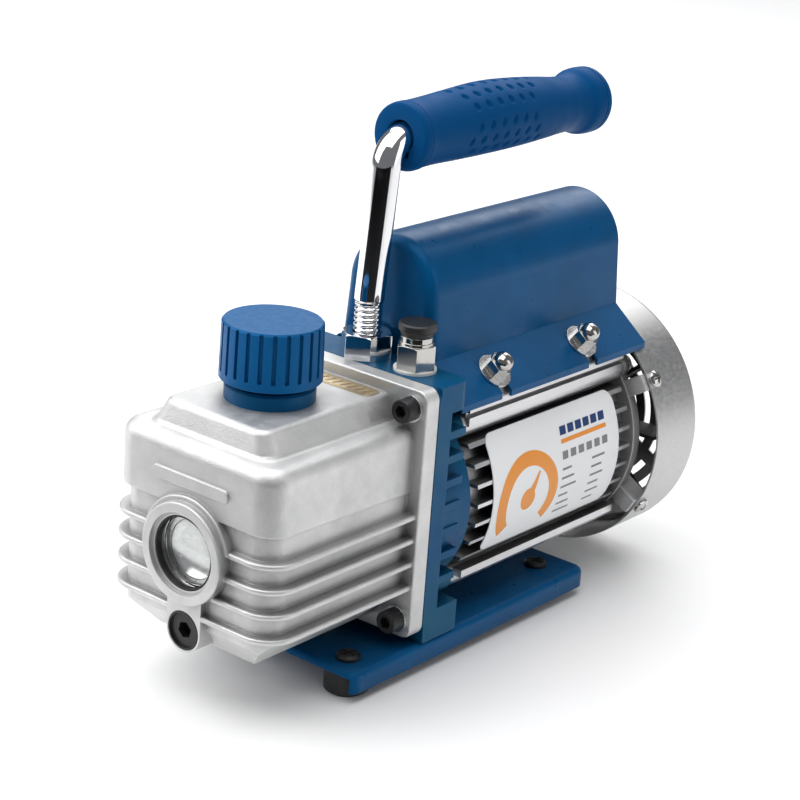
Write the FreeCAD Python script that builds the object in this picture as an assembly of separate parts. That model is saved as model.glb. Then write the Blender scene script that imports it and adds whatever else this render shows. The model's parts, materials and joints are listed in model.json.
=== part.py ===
"""Rotary vane vacuum pump: oil-sealed pump in a finned tank, driven directly by a fan-cooled motor.

Frame: +X to the right seen from the sight glass side, +Y from the sight glass to the fan, +Z up.
The rubber feet stand on z = 0, and the shaft runs along Y above the origin.  Lengths are in mm.
"""
import FreeCAD, Part
import math
import os

# ---------------------------------------------------------------- driving dimensions
SHAFT_Z = 68.0            # height of the shaft, the sight glass and the fan
HALF_LENGTH = 144.4       # the pump reaches this far to the front and to the rear
JOINT_Y = -45.5           # plane where the oil tank meets the bracket
PLATE_HALF = 49.0         # half width of the tank flange, bracket and base
PLATE_LOW = 18.2          # underside of the tank flange
PLATE_TOP = 129.6         # top of the tank flange and bracket
FIT_GAP = 0.05            # radial clearance of a running fit
GASKET = 0.5

BASE_TOP = 14.0
BASE_SHEET = 2.5
BASE_FRONT = -90.0
BASE_REAR = 77.2
BASE_LOW = 4.6
FOOT_R = 10.0
FOOT_SPOTS = [(-36.2, -78.4), (36.2, -78.4), (-32.0, 60.0), (32.0, 60.0)]

FLANGE_THICK = 8.0
BOX_HALF = 44.5           # half width of the tank's plain upper box at its front
BOX_REAR_HALF = 43.2      # and at the flange, because its sides have draft
BOX_FRONT = -139.6
BOX_CORNER = 10.7
STEP_FRONT = 86.6         # underside of the upper box at its front
STEP_REAR = 84.3          # and at the flange
TANK_LOW = 24.0
TANK_SHOULDER = 114.0     # top of the box round the raised lid
TANK_TOP = 124.5          # top of the raised lid
TANK_WALL = 4.0
CORE_HALF = 42.3          # finned part between the fins
CORE_FRONT = -137.6
CORE_CORNER = 11.0
FIN_HALF = 47.4
FIN_FRONT = -140.8
FIN_CORNER = 14.5
FIN_THICK = 2.5
FIN_EDGE = 1.0            # rounding of the fins' edges
FIN_HEIGHTS = [42.0, 52.8, 63.6, 74.3]

SIGHT_Z = 68.6
SIGHT_R = 21.7
SIGHT_LIP_R = 24.0
GLASS_R = 15.8
DRAIN_Z = 33.9
DRAIN_HEAD_R = 8.35
DRAIN_BOSS_R = 9.4

NECK_Y = -95.6            # filler neck and its cap
COLLAR_R = 18.9
COLLAR_TOP = 131.0
THREAD_R = 15.5
THREAD_TOP = 146.0
CAP_R = 21.3
CAP_LOW = 132.9
CAP_TOP = 157.4
CAP_SLOTS = 24            # grip slots round the cap
CAP_SLOT = 1.8
CAP_SLOT_DEPTH = 1.7

HANDLE_Y = -35.9
ROD_R = 6.4
GRIP_Z = 222.7
GRIP_FRONT = -22.0
GRIP_REAR = 112.4
INTAKE_X = 26.0
INTAKE_Y = -34.5

BRACKET_REAR = -17.0      # the bracket's bell meets the motor housing here
BELL_R = 48.0
HOUSING_REAR = 105.0
HOUSING_R = 44.0
FIN_TIP_R = 50.0
MOTOR_BORE_R = 40.5
SIDE_FINS = [42.0, 51.0, 60.0, 69.0, 77.8, 86.4, 94.6]
BOLT_RING = 35.0          # tie bolts stand this far out and up from the shaft

COVER_FRONT = -23.4       # capacitor cover, an arch of sheet steel
COVER_REAR = 115.0
COVER_R = 23.9
COVER_Z = 156.6
SHEET = 1.2
STUD_YS = [8.0, 73.0]
LIP_X = 44.2

FAN_COVER_R = 61.5
FAN_COVER_FRONT = 108.4
FAN_SCREW_Y = 113.0
FAN_SCREW_ANGLES = [31.0, 149.0, 211.0, 329.0]

ROTOR_R = 19.0
CYLINDER_R = 22.0
ROTOR_CLEARANCE = 0.1     # closest approach of the rotor to the cylinder
CYLINDER_Z = SHAFT_Z - (CYLINDER_R - ROTOR_R - ROTOR_CLEARANCE)
PUMP_COVER = 8.0
PUMP_REAR = JOINT_Y - PUMP_COVER
PUMP_LENGTH = 40.0
PUMP_FRONT = PUMP_REAR - PUMP_LENGTH
JOURNAL_R = 7.5

X_AXIS = FreeCAD.Vector(1, 0, 0)
Y_AXIS = FreeCAD.Vector(0, 1, 0)
Z_AXIS = FreeCAD.Vector(0, 0, 1)


# ---------------------------------------------------------------- plain shapes
def vec(x, y, z):
    return FreeCAD.Vector(x, y, z)


def box(x0, x1, y0, y1, z0, z1):
    return Part.makeBox(x1 - x0, y1 - y0, z1 - z0, vec(x0, y0, z0))


def cyl_x(r, x0, x1, y, z):
    return Part.makeCylinder(r, x1 - x0, vec(x0, y, z), X_AXIS)


def cyl_y(r, y0, y1, x=0.0, z=SHAFT_Z):
    return Part.makeCylinder(r, y1 - y0, vec(x, y0, z), Y_AXIS)


def cyl_z(r, z0, z1, x=0.0, y=0.0):
    return Part.makeCylinder(r, z1 - z0, vec(x, y, z0), Z_AXIS)


def tube_y(r_out, r_in, y0, y1, x=0.0, z=SHAFT_Z):
    return cyl_y(r_out, y0, y1, x, z).cut(cyl_y(r_in, y0 - 1, y1 + 1, x, z))


def tube_z(r_out, r_in, z0, z1, x=0.0, y=0.0):
    return cyl_z(r_out, z0, z1, x, y).cut(cyl_z(r_in, z0 - 1, z1 + 1, x, y))


def prism(points, step):
    """Extrude the closed polygon through these points by the vector step."""
    face = Part.Face(Part.makePolygon(points + points[:1]))
    return face.extrude(step)


def prism_y(outline, y0, y1):
    """Extrude an outline of (x, z) points along Y."""
    return prism([vec(x, y0, z) for x, z in outline], vec(0, y1 - y0, 0))


def prism_x(outline, x0, x1):
    """Extrude an outline of (y, z) points along X."""
    return prism([vec(x0, y, z) for y, z in outline], vec(x1 - x0, 0, 0))


def hexagon(across_flats, x, y, z0, z1, turn):
    """A hexagonal prism along Z, turned by this many degrees, its top corners chamfered as on a nut."""
    corner = across_flats / math.sqrt(3)
    turns = [math.radians(60 * i + turn) for i in range(6)]
    points = [vec(x + corner * math.cos(a), y + corner * math.sin(a), z0) for a in turns]
    body = prism(points, vec(0, 0, z1 - z0))
    cone_low = z1 - 1.0
    cone = Part.makeCone(corner + 0.6, across_flats / 2 - 0.1, 1.3, vec(x, y, cone_low), Z_AXIS)
    return body.common(cyl_z(corner + 1, z0, cone_low, x, y).fuse(cone))


def fuse_all(shapes):
    return shapes[0].multiFuse(shapes[1:]).removeSplitter()


def turn_y(shape, degrees):
    copy = shape.copy()
    copy.rotate(vec(0, 0, SHAFT_Z), Y_AXIS, degrees)
    return copy


def rounded_plate(half, z0, z1, corner, y0, y1):
    """A plate across Y with four round corners."""
    plate = box(-half, half, y0, y1, z0, z1)
    edges = [e for e in plate.Edges if abs(e.Vertexes[0].Y - e.Vertexes[1].Y) > (y1 - y0) / 2]
    return plate.makeFillet(corner, edges)


def revolve_y(profile, y_axis_z=SHAFT_Z):
    """Turn a closed profile of (radius, y) points about the line x = 0, z = y_axis_z."""
    points = [vec(r, y, y_axis_z) for r, y in profile]
    face = Part.Face(Part.makePolygon(points + points[:1]))
    return face.revolve(vec(0, 0, y_axis_z), Y_AXIS, 360)


def revolve_z(profile, x, y):
    """Turn a closed profile of (radius, z) points about a vertical line."""
    points = [vec(x + r, y, z) for r, z in profile]
    face = Part.Face(Part.makePolygon(points + points[:1]))
    return face.revolve(vec(x, y, 0), Z_AXIS, 360)


def save(name, *solids):
    """Write one sub-part, as one solid or as a group of separate identical ones."""
    shape = solids[0] if len(solids) == 1 else Part.makeCompound(list(solids))
    if not shape.isValid():
        print("not valid:", name)
    shape.exportStep("parts/" + name + ".step")
    print(name, len(shape.Solids), round(shape.Volume / 1000, 2))


# ---------------------------------------------------------------- base
FOOT_SCREW_R = 2.5


def base_channel():
    """Inverted channel of folded sheet, open at the front and rear."""
    half = PLATE_HALF + 0.2
    outer = box(-half, half, BASE_FRONT, BASE_REAR, BASE_LOW, BASE_TOP)
    uprights = [e for e in outer.Edges if abs(e.Vertexes[0].Z - e.Vertexes[1].Z) > 1]
    outer = outer.makeFillet(5.0, uprights)
    top_sides = [e for e in outer.Edges if e.BoundBox.ZMin > BASE_TOP - 0.1 and e.BoundBox.YLength > 100]
    outer = outer.makeFillet(3.0, top_sides)
    inner_half = half - BASE_SHEET
    channel = outer.cut(box(-inner_half, inner_half, BASE_FRONT - 1, BASE_REAR + 1, 0, BASE_TOP - BASE_SHEET))
    for x, y in FOOT_SPOTS:
        channel = channel.cut(cyl_z(FOOT_SCREW_R + 0.2, 0, BASE_TOP + 1, x, y))
    for x, y in BRACKET_SCREW_SPOTS:
        channel = channel.cut(cyl_z(BRACKET_SCREW_R + 0.2, 0, BASE_TOP + 1, x, y))
    return channel


def rubber_foot(x, y):
    under = BASE_TOP - BASE_SHEET
    foot = revolve_z([(0, 0), (FOOT_R - 1.4, 0), (FOOT_R - 0.3, 0.9), (FOOT_R, under), (0, under)], x, y)
    return foot.cut(cyl_z(FOOT_SCREW_R, 4.0, under + 1, x, y))


def base_screw(x, y):
    head = revolve_z([(0, 0), (5.2, 0), (5.2, 1.4), (4.2, 2.4), (0, 2.6)], x, y)
    head.translate(vec(0, 0, BASE_TOP))
    slot = box(x - 3.2, x + 3.2, y - 0.5, y + 0.5, BASE_TOP + 1.6, BASE_TOP + 3)
    cross = box(x - 0.5, x + 0.5, y - 3.2, y + 3.2, BASE_TOP + 1.6, BASE_TOP + 3)
    shank = cyl_z(FOOT_SCREW_R, 4.5, BASE_TOP + 0.5, x, y)
    return head.fuse(shank).cut(slot).cut(cross).removeSplitter()


BRACKET_SCREW_R = 3.0
BRACKET_SCREW_SPOTS = [(-30.0, -34.0), (30.0, -34.0)]


def bracket_screw(x, y):
    under = BASE_TOP - BASE_SHEET
    head = cyl_z(5.0, under - 3.3, under, x, y)
    socket = cyl_z(2.3, under - 4.3, under - 1.3, x, y)
    return head.cut(socket).fuse(cyl_z(BRACKET_SCREW_R, under - 0.5, 25.0, x, y)).removeSplitter()


# ---------------------------------------------------------------- oil tank
TANK_REAR = JOINT_Y - GASKET
FLANGE_FRONT = TANK_REAR - FLANGE_THICK
TANK_SCREW_X = 41.0
TANK_SCREW_ZS = [PLATE_LOW + 8.0, PLATE_TOP - 8.4]
TANK_SCREW_R = 3.0
SIGHT_STEP = -142.6       # floor of the sight ring's wide mouth
SIGHT_MOUTH_R = 17.5
SIGHT_LIP_FRONT = -141.6
GLASS_SEAT = -135.0
DRAIN_FRONT = -140.8
BAR_HALF_X = 21.0
BAR_ZS = (95.2, 100.8)
RIM_EDGE = 6.3
LID_EDGE = 3.2
LID_ROWS = [              # height, half width, front and corner radius, from the lid's hollow foot to its top
    (TANK_SHOULDER, 34.4, -133.2, 9.0),
    (TANK_SHOULDER + 0.5, 33.2, -132.2, 8.2),
    (TANK_SHOULDER + 1.6, 32.3, -131.4, 7.6),
    (TANK_TOP, 27.6, -128.6, 6.0),
]


def nose_outline(half, y_front, y_rear, corner, z):
    """A closed outline at height z, square at the rear and with two round front corners."""
    spots = [(-half, y_rear), (-half, y_front + corner), (-half + corner, y_front),
             (half - corner, y_front), (half, y_front + corner), (half, y_rear)]
    p = [vec(x, y, z) for x, y in spots]
    inset = corner * (1 - math.sqrt(0.5))
    left = Part.Arc(p[1], vec(-half + inset, y_front + inset, z), p[2]).toShape()
    right = Part.Arc(p[3], vec(half - inset, y_front + inset, z), p[4]).toShape()
    lines = [Part.LineSegment(p[a], p[b]).toShape() for a, b in ((0, 1), (2, 3), (4, 5), (5, 0))]
    return Part.Wire([lines[0], left, lines[1], right, lines[2], lines[3]])


def nose_slab(half, y_front, y_rear, corner, z0, z1):
    """A slab whose two front corners, seen from above, are round."""
    return Part.Face(nose_outline(half, y_front, y_rear, corner, z0)).extrude(vec(0, 0, z1 - z0))


def edges_at(shape, z, y_rear):
    """The edges at this height that don't lie in the rear face."""
    return [e for e in shape.Edges if abs(e.BoundBox.ZMin - z) < 0.01 and abs(e.BoundBox.ZMax - z) < 0.01
            and e.BoundBox.YMin < y_rear - 0.1]


def tank_lid():
    """The raised lid on the tank's shoulder, narrower at the top than at its foot."""
    rear = FLANGE_FRONT + 1
    rows = [nose_outline(half, front, rear, corner, z) for z, half, front, corner in LID_ROWS]
    lid = Part.makeLoft(rows, True, True)
    return lid.makeFillet(LID_EDGE, edges_at(lid, TANK_TOP, rear))


def upper_box():
    """The plain part of the tank above the fins: drafted sides, a sloping underside and a round rim."""
    rear = FLANGE_FRONT + 1
    low = STEP_REAR - 2
    plan = [vec(-BOX_HALF, BOX_FRONT, low), vec(BOX_HALF, BOX_FRONT, low),
            vec(BOX_REAR_HALF, rear, low), vec(-BOX_REAR_HALF, rear, low)]
    block = prism(plan, vec(0, 0, TANK_SHOULDER - low))
    uprights = [e for e in block.Edges if e.BoundBox.ZLength > 5 and e.BoundBox.YMax < BOX_FRONT + 0.1]
    block = block.makeFillet(BOX_CORNER, uprights)
    block = block.makeFillet(RIM_EDGE, edges_at(block, TANK_SHOULDER, rear))
    under = [(BOX_FRONT - 1, 0), (BOX_FRONT - 1, STEP_FRONT), (rear + 1, STEP_REAR), (rear + 1, 0)]
    return block.cut(prism_x(under, -BOX_HALF - 1, BOX_HALF + 1))


def tank_core():
    """The narrower part of the tank between the fins, with a sloping bottom."""
    rear = FLANGE_FRONT + 1
    core = nose_slab(CORE_HALF, CORE_FRONT, rear, CORE_CORNER, TANK_LOW, STEP_FRONT + 1)
    keel = [(-CORE_HALF, 40.0), (-27.0, TANK_LOW), (27.0, TANK_LOW), (CORE_HALF, 40.0),
            (CORE_HALF, STEP_FRONT + 1), (-CORE_HALF, STEP_FRONT + 1)]
    stem = [(CORE_FRONT, 36.5), (CORE_FRONT + 11, TANK_LOW), (rear, TANK_LOW),
            (rear, STEP_FRONT + 1), (CORE_FRONT, STEP_FRONT + 1)]
    core = core.common(prism_y(keel, CORE_FRONT - 1, rear + 1))
    return core.common(prism_x(stem, -CORE_HALF - 1, CORE_HALF + 1))


def tank_fin(z):
    rear = FLANGE_FRONT + 1
    low = z - FIN_THICK / 2
    high = z + FIN_THICK / 2
    fin = nose_slab(FIN_HALF, FIN_FRONT, rear, FIN_CORNER, low, high)
    return fin.makeFillet(FIN_EDGE, edges_at(fin, low, rear) + edges_at(fin, high, rear))


def tank_outside():
    plate = rounded_plate(PLATE_HALF, PLATE_LOW, PLATE_TOP, 5.0, FLANGE_FRONT, TANK_REAR)
    rim = [e for e in plate.Edges if e.BoundBox.YMax < FLANGE_FRONT + 0.01]
    plate = plate.makeFillet(0.8, rim)
    return fuse_all([upper_box(), tank_lid(), tank_core(), plate] + [tank_fin(z) for z in FIN_HEIGHTS])


def tank_front_bosses():
    """The sight glass ring and its lip, the drain boss, the web between them and a plain raised bar."""
    rear = CORE_FRONT + 3
    ring = cyl_y(SIGHT_R, -HALF_LENGTH, rear, z=SIGHT_Z)
    ring = ring.makeFillet(0.7, [e for e in ring.Edges if e.BoundBox.YMax < -HALF_LENGTH + 0.01])
    lip = cyl_y(SIGHT_LIP_R, SIGHT_LIP_FRONT, rear, z=SIGHT_Z)
    lip = lip.makeFillet(0.7, [e for e in lip.Edges if e.BoundBox.YMax < SIGHT_LIP_FRONT + 0.01])
    lip = lip.cut(box(-SIGHT_LIP_R - 1, SIGHT_LIP_R + 1, -HALF_LENGTH, rear + 1, 0, FIN_HEIGHTS[-1]))
    drain = cyl_y(DRAIN_BOSS_R, DRAIN_FRONT, CORE_FRONT + 12, z=DRAIN_Z)
    web = box(-DRAIN_BOSS_R, DRAIN_BOSS_R, DRAIN_FRONT, rear, DRAIN_Z, SIGHT_Z - SIGHT_R + 3)
    bar = rounded_plate(BAR_HALF_X, BAR_ZS[0], BAR_ZS[1], 2.4, BOX_FRONT - 0.9, BOX_FRONT + 1)
    bar = bar.makeFillet(0.5, [e for e in bar.Edges if e.BoundBox.YMax < BOX_FRONT - 0.8])
    return fuse_all([ring, lip, drain, web, bar])


def tank_inside():
    """The oil space, open to the rear through the flange."""
    half = CORE_HALF - TANK_WALL
    front = CORE_FRONT + TANK_WALL + 1.0
    rear = JOINT_Y + 1
    floor = TANK_LOW + TANK_WALL
    room = nose_slab(half, front, rear, CORE_CORNER - TANK_WALL, floor, TANK_SHOULDER - TANK_WALL)
    keel = [(-half, 42.0), (-25.5, floor), (25.5, floor), (half, 42.0),
            (half, 106.0), (half - 6, TANK_TOP), (-(half - 6), TANK_TOP), (-half, 106.0)]
    stem = [(front, 40.5), (front + 10, floor), (rear, floor), (rear, TANK_TOP), (front, TANK_TOP)]
    room = room.common(prism_y(keel, front - 1, rear + 1)).common(prism_x(stem, -half - 1, half + 1))
    lid_front = LID_ROWS[-1][2] + 7
    lid_floor = TANK_SHOULDER - TANK_WALL - 1
    return room.fuse(box(-22.0, 22.0, lid_front, FLANGE_FRONT, lid_floor, TANK_TOP - TANK_WALL))


def oil_tank():
    tank = fuse_all([tank_outside(), tank_front_bosses()]).cut(tank_inside())
    drills = [cyl_y(SIGHT_MOUTH_R, -HALF_LENGTH - 1, SIGHT_STEP, z=SIGHT_Z),
              cyl_y(GLASS_R + 0.1, SIGHT_STEP - 1, GLASS_SEAT, z=SIGHT_Z),
              cyl_y(12.6, GLASS_SEAT - 1, -130.0, z=SIGHT_Z),
              cyl_y(DRAIN_THREAD_R + 0.1, DRAIN_FRONT - 1, -120.0, z=DRAIN_Z),
              cyl_y(DRAIN_HEAD_R + 0.2, DRAIN_FRONT - 1, DRAIN_SEAT, z=DRAIN_Z),
              cyl_z(SPIGOT_R + FIT_GAP, TANK_TOP - 8, TANK_TOP + 1, 0, NECK_Y)]
    for x in (-TANK_SCREW_X, TANK_SCREW_X):
        for z in TANK_SCREW_ZS:
            drills.append(cyl_y(TANK_SCREW_R + 0.3, FLANGE_FRONT - 1, JOINT_Y, x, z))
    for drill in drills:
        tank = tank.cut(drill)
    return tank


def tank_gasket():
    half = CORE_HALF - TANK_WALL + 0.5
    plate = rounded_plate(PLATE_HALF - 0.4, PLATE_LOW + 0.4, PLATE_TOP - 0.4, 5.0, TANK_REAR, JOINT_Y)
    plate = plate.cut(rounded_plate(half, 27.5, 111.0, 8.0, TANK_REAR - 1, JOINT_Y + 1))
    for x in (-TANK_SCREW_X, TANK_SCREW_X):
        for z in TANK_SCREW_ZS:
            plate = plate.cut(cyl_y(TANK_SCREW_R + 0.3, TANK_REAR - 1, JOINT_Y + 1, x, z))
    return plate


WASHER = 1.2


def tank_washer(x, z):
    return tube_y(6.0, TANK_SCREW_R + 0.2, FLANGE_FRONT - WASHER, FLANGE_FRONT, x, z)


def socket_screw(r, head_r, head_length, y_head, y_end, x, z):
    """A socket head screw along +Y whose head's underside is at y_head."""
    head = cyl_y(head_r, y_head - head_length, y_head, x, z)
    rim = [e for e in head.Edges if e.BoundBox.YMax < y_head - head_length + 0.1]
    head = head.makeFillet(0.6, rim)
    corner = r * 0.95
    turns = [math.radians(60 * i) for i in range(6)]
    front = y_head - head_length - 1
    points = [vec(x + corner * math.cos(a), front, z + corner * math.sin(a)) for a in turns]
    socket = prism(points, vec(0, 1 + head_length * 0.6, 0))
    return head.fuse(cyl_y(r, y_head - 0.5, y_end, x, z)).cut(socket).removeSplitter()


DRAIN_SEAT = -135.5
DRAIN_SEAL = 1.2
DRAIN_THREAD_R = 5.0
DRAIN_HEAD = 4.2
DRAIN_DISH = 1.2
DRAIN_KEY = 6.4           # width across the flats of its hexagon socket
CONTACT_GAP = 0.03


def drain_o_ring():
    front = DRAIN_SEAT - DRAIN_SEAL
    return tube_y(7.4, DRAIN_THREAD_R + 0.3, front, DRAIN_SEAT - CONTACT_GAP, 0, DRAIN_Z)


def drain_plug():
    """A plug with a dished head, a hexagon socket and a plain thread."""
    seat = DRAIN_SEAT - DRAIN_SEAL - CONTACT_GAP
    front = seat - DRAIN_HEAD
    head = cyl_y(DRAIN_HEAD_R, front, seat, z=DRAIN_Z)
    head = head.makeFillet(0.3, [e for e in head.Edges if e.BoundBox.YMax < front + 0.01])
    plug = head.fuse(cyl_y(DRAIN_THREAD_R, seat - 0.5, seat + 10.0, z=DRAIN_Z)).removeSplitter()
    plug = plug.cut(cyl_y(DRAIN_HEAD_R - 0.8, front - 1, front + DRAIN_DISH, z=DRAIN_Z))
    turns = [math.radians(60 * i + 15) for i in range(6)]
    corner = DRAIN_KEY / math.sqrt(3)
    points = [vec(corner * math.cos(a), front - 1, DRAIN_Z + corner * math.sin(a)) for a in turns]
    return plug.cut(prism(points, vec(0, 6.5, 0)))


GLASS_FACE = -137.6
GLASS_APEX = -139.8
RING_FRONT = -139.6


def sight_glass():
    """A plano-convex lens seated against the step in the sight bore."""
    plate = cyl_y(GLASS_R, GLASS_FACE, GLASS_SEAT, z=SIGHT_Z)
    dome_r = 52.0
    dome = Part.makeSphere(dome_r, vec(0, GLASS_APEX + dome_r, SIGHT_Z))
    return fuse_all([plate, dome.common(cyl_y(GLASS_R - 1.4, GLASS_APEX - 1, GLASS_FACE + 0.6, z=SIGHT_Z))])


def sight_o_ring():
    ring = tube_y(GLASS_R, GLASS_R - 1.2, RING_FRONT, GLASS_FACE, z=SIGHT_Z)
    rim = [e for e in ring.Edges if e.BoundBox.YMax < RING_FRONT + 0.1]
    return ring.makeFillet(0.5, rim)


# ---------------------------------------------------------------- filler neck and cap
SPIGOT_R = 13.9


def filler_neck():
    profile = [(11.5, TANK_TOP - 5), (SPIGOT_R, TANK_TOP - 5), (SPIGOT_R, TANK_TOP), (COLLAR_R, TANK_TOP),
               (COLLAR_R, COLLAR_TOP - 1), (COLLAR_R - 1, COLLAR_TOP), (THREAD_R, COLLAR_TOP),
               (THREAD_R, THREAD_TOP - 0.8), (THREAD_R - 0.8, THREAD_TOP), (11.5, THREAD_TOP)]
    return revolve_z(profile, 0, NECK_Y)


CAP_CEILING = THREAD_TOP + 2.1


def filler_cap():
    """A screw cap with narrow upright grip slots over a plain rim."""
    profile = [(THREAD_R + 0.5, CAP_LOW), (CAP_R - 0.4, CAP_LOW), (CAP_R, CAP_LOW + 0.4),
               (CAP_R - 0.4, CAP_TOP - 0.9), (CAP_R - 1.2, CAP_TOP), (0, CAP_TOP),
               (0, CAP_CEILING), (THREAD_R + 0.5, CAP_CEILING)]
    cap = revolve_z(profile, 0, NECK_Y)
    half = CAP_SLOT / 2
    slot = box(CAP_R - CAP_SLOT_DEPTH, CAP_R + 2, -half, half, CAP_LOW + 3.4, CAP_TOP - 0.5)
    ends = [e for e in slot.Edges if e.BoundBox.ZLength < 0.1 and e.BoundBox.XLength > 1]
    slot = slot.makeFillet(half * 0.8, ends)
    slots = []
    for i in range(CAP_SLOTS):
        turned = slot.copy()
        turned.rotate(vec(0, 0, 0), Z_AXIS, 360.0 * i / CAP_SLOTS)
        turned.translate(vec(0, NECK_Y, 0))
        slots.append(turned)
    return cap.cut(slots)


def cap_seal():
    return tube_z(THREAD_R - 0.3, 12.0, THREAD_TOP + CONTACT_GAP, CAP_CEILING - CONTACT_GAP, 0, NECK_Y)


def tank_sticker():
    """A small plain foil strip on the lid, behind the filler cap."""
    strip = box(-22.5, 26.2, -65.4, -56.0, TANK_TOP, TANK_TOP + 0.3)
    uprights = [e for e in strip.Edges if e.BoundBox.ZLength > 0.2]
    return strip.makeFillet(2.5, uprights)


# ---------------------------------------------------------------- bracket
BLOCK_REAR = -25.5
SEAL_R = 13.0
SEAL_REAR = JOINT_Y + 7.0
BEARING_R = 17.5
BEARING_BORE_R = 7.5
BEARING_WIDTH = 11.0
FRONT_BEARING = BRACKET_REAR - BEARING_WIDTH
HANDLE_HOLE_LOW = 112.0
BOLT_R = 2.5
PORT_Z = 78.0


def bracket_outside():
    plate = rounded_plate(PLATE_HALF, PLATE_LOW, PLATE_TOP, 5.0, JOINT_Y, JOINT_Y + 9.0)
    block = box(-PLATE_HALF, PLATE_HALF, JOINT_Y + 1, BLOCK_REAR, PLATE_TOP - 12.5, PLATE_TOP)
    uprights = [e for e in block.Edges if e.BoundBox.ZLength > 10 and e.BoundBox.YMin > BLOCK_REAR - 0.1]
    block = block.makeFillet(5.0, uprights)
    bell = cyl_y(BELL_R, JOINT_Y + 1, BRACKET_REAR)
    foot = box(-PLATE_HALF, PLATE_HALF, JOINT_Y + 0.5, BLOCK_REAR + 3.0, BASE_TOP, 28.0)
    pieces = [plate, block, bell, foot]
    for i in range(7):
        z = 39.0 + 11.0 * i
        pieces.append(box(-PLATE_HALF + 0.4, PLATE_HALF - 0.4, JOINT_Y + 8, BLOCK_REAR, z, z + 3.4))
    pieces.append(box(-9.0, 9.0, JOINT_Y + 1, BLOCK_REAR, SHAFT_Z, PLATE_TOP - 1))
    for dx in (-BOLT_RING, BOLT_RING):
        for dz in (-BOLT_RING, BOLT_RING):
            pieces.append(cyl_y(6.0, JOINT_Y + 8, BRACKET_REAR, dx, SHAFT_Z + dz))
    return fuse_all(pieces)


def pump_bracket():
    """Carries the tank, the pump, the motor and the handle, and closes the rear of the tank."""
    body = bracket_outside()
    drills = [cyl_y(SEAL_R, JOINT_Y - 1, SEAL_REAR), cyl_y(8.5, SEAL_REAR - 1, -36.0),
              cyl_y(16.0, -36.0, FRONT_BEARING + 1), cyl_y(BEARING_R, FRONT_BEARING, BRACKET_REAR + 1),
              cyl_y(21.0, FRONT_BEARING + 6.5, BRACKET_REAR + 1).cut(cyl_y(BEARING_R + 2, -40, 0)),
              cyl_z(ROD_R, HANDLE_HOLE_LOW, PLATE_TOP + 1, 0, HANDLE_Y),
              cyl_z(INTAKE_SPIGOT_R, 118.0, PLATE_TOP + 1, INTAKE_X, INTAKE_Y),
              cyl_z(3.2, PORT_Z, 119.0, INTAKE_X, INTAKE_Y),
              cyl_y(3.2, JOINT_Y - 1, INTAKE_Y, INTAKE_X, PORT_Z)]
    for x in (-TANK_SCREW_X, TANK_SCREW_X):
        for z in TANK_SCREW_ZS:
            drills.append(cyl_y(TANK_SCREW_R, JOINT_Y - 1, JOINT_Y + 8.5, x, z))
    for x, z in PUMP_SCREW_SPOTS:
        drills.append(cyl_y(PUMP_SCREW_R, JOINT_Y - 1, JOINT_Y + 8.0, x, z))
    for dx in (-BOLT_RING, BOLT_RING):
        for dz in (-BOLT_RING, BOLT_RING):
            drills.append(cyl_y(BOLT_R, -30.0, BRACKET_REAR + 1, dx, SHAFT_Z + dz))
    for x, y in BRACKET_SCREW_SPOTS:
        drills.append(cyl_z(BRACKET_SCREW_R, BASE_TOP - 1, 25.5, x, y))
    for drill in drills:
        body = body.cut(drill)
    return body


def shaft_seal():
    ring = tube_y(SEAL_R, JOURNAL_R + FIT_GAP, JOINT_Y + 1.0, SEAL_REAR)
    groove = tube_y(SEAL_R - 1.8, JOURNAL_R + 2.2, JOINT_Y, JOINT_Y + 4.0)
    return ring.cut(groove)


# ---------------------------------------------------------------- handle
ROD_LEAN = 6.2            # the rod's top stands this far behind its foot


def tangent_path(corners, radii):
    """Straight runs between (y, z) corners at x = 0, joined by arcs of the given radii."""
    points = [vec(0, y, z) for y, z in corners]
    edges = []
    last = points[0]
    for i, radius in enumerate(radii):
        corner = points[i + 1]
        before = (points[i] - corner).normalize()
        after = (points[i + 2] - corner).normalize()
        half_angle = before.getAngle(after) / 2
        reach = radius / math.tan(half_angle)
        start = corner + before * reach
        end = corner + after * reach
        middle = (before + after).normalize()
        centre_distance = radius / math.sin(half_angle)
        arc_middle = corner + middle * (centre_distance - radius)
        edges.append(Part.LineSegment(last, start).toShape())
        edges.append(Part.Arc(start, arc_middle, end).toShape())
        last = end
    edges.append(Part.LineSegment(last, points[-1]).toShape())
    return Part.Wire(edges)


def handle_rod():
    """A bent bar, screwed into the bracket, that leans back and runs level inside the grip."""
    corners = [(HANDLE_Y, HANDLE_HOLE_LOW + 0.5), (HANDLE_Y, 156.0), (HANDLE_Y + ROD_LEAN, GRIP_Z),
               (GRIP_REAR - 8, GRIP_Z)]
    path = tangent_path(corners, [60.0, 13.0])
    start = vec(0, HANDLE_Y, HANDLE_HOLE_LOW + 0.5)
    section = Part.Wire(Part.makeCircle(ROD_R, start, Z_AXIS))
    return path.makePipeShell([section], True, True)


def handle_nut():
    nut = hexagon(NUT_FLATS, 0, HANDLE_Y, PLATE_TOP, NUT_TOP, 19.0)
    return nut.cut(cyl_z(ROD_R, PLATE_TOP - 1, NUT_TOP + 1, 0, HANDLE_Y))


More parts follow.
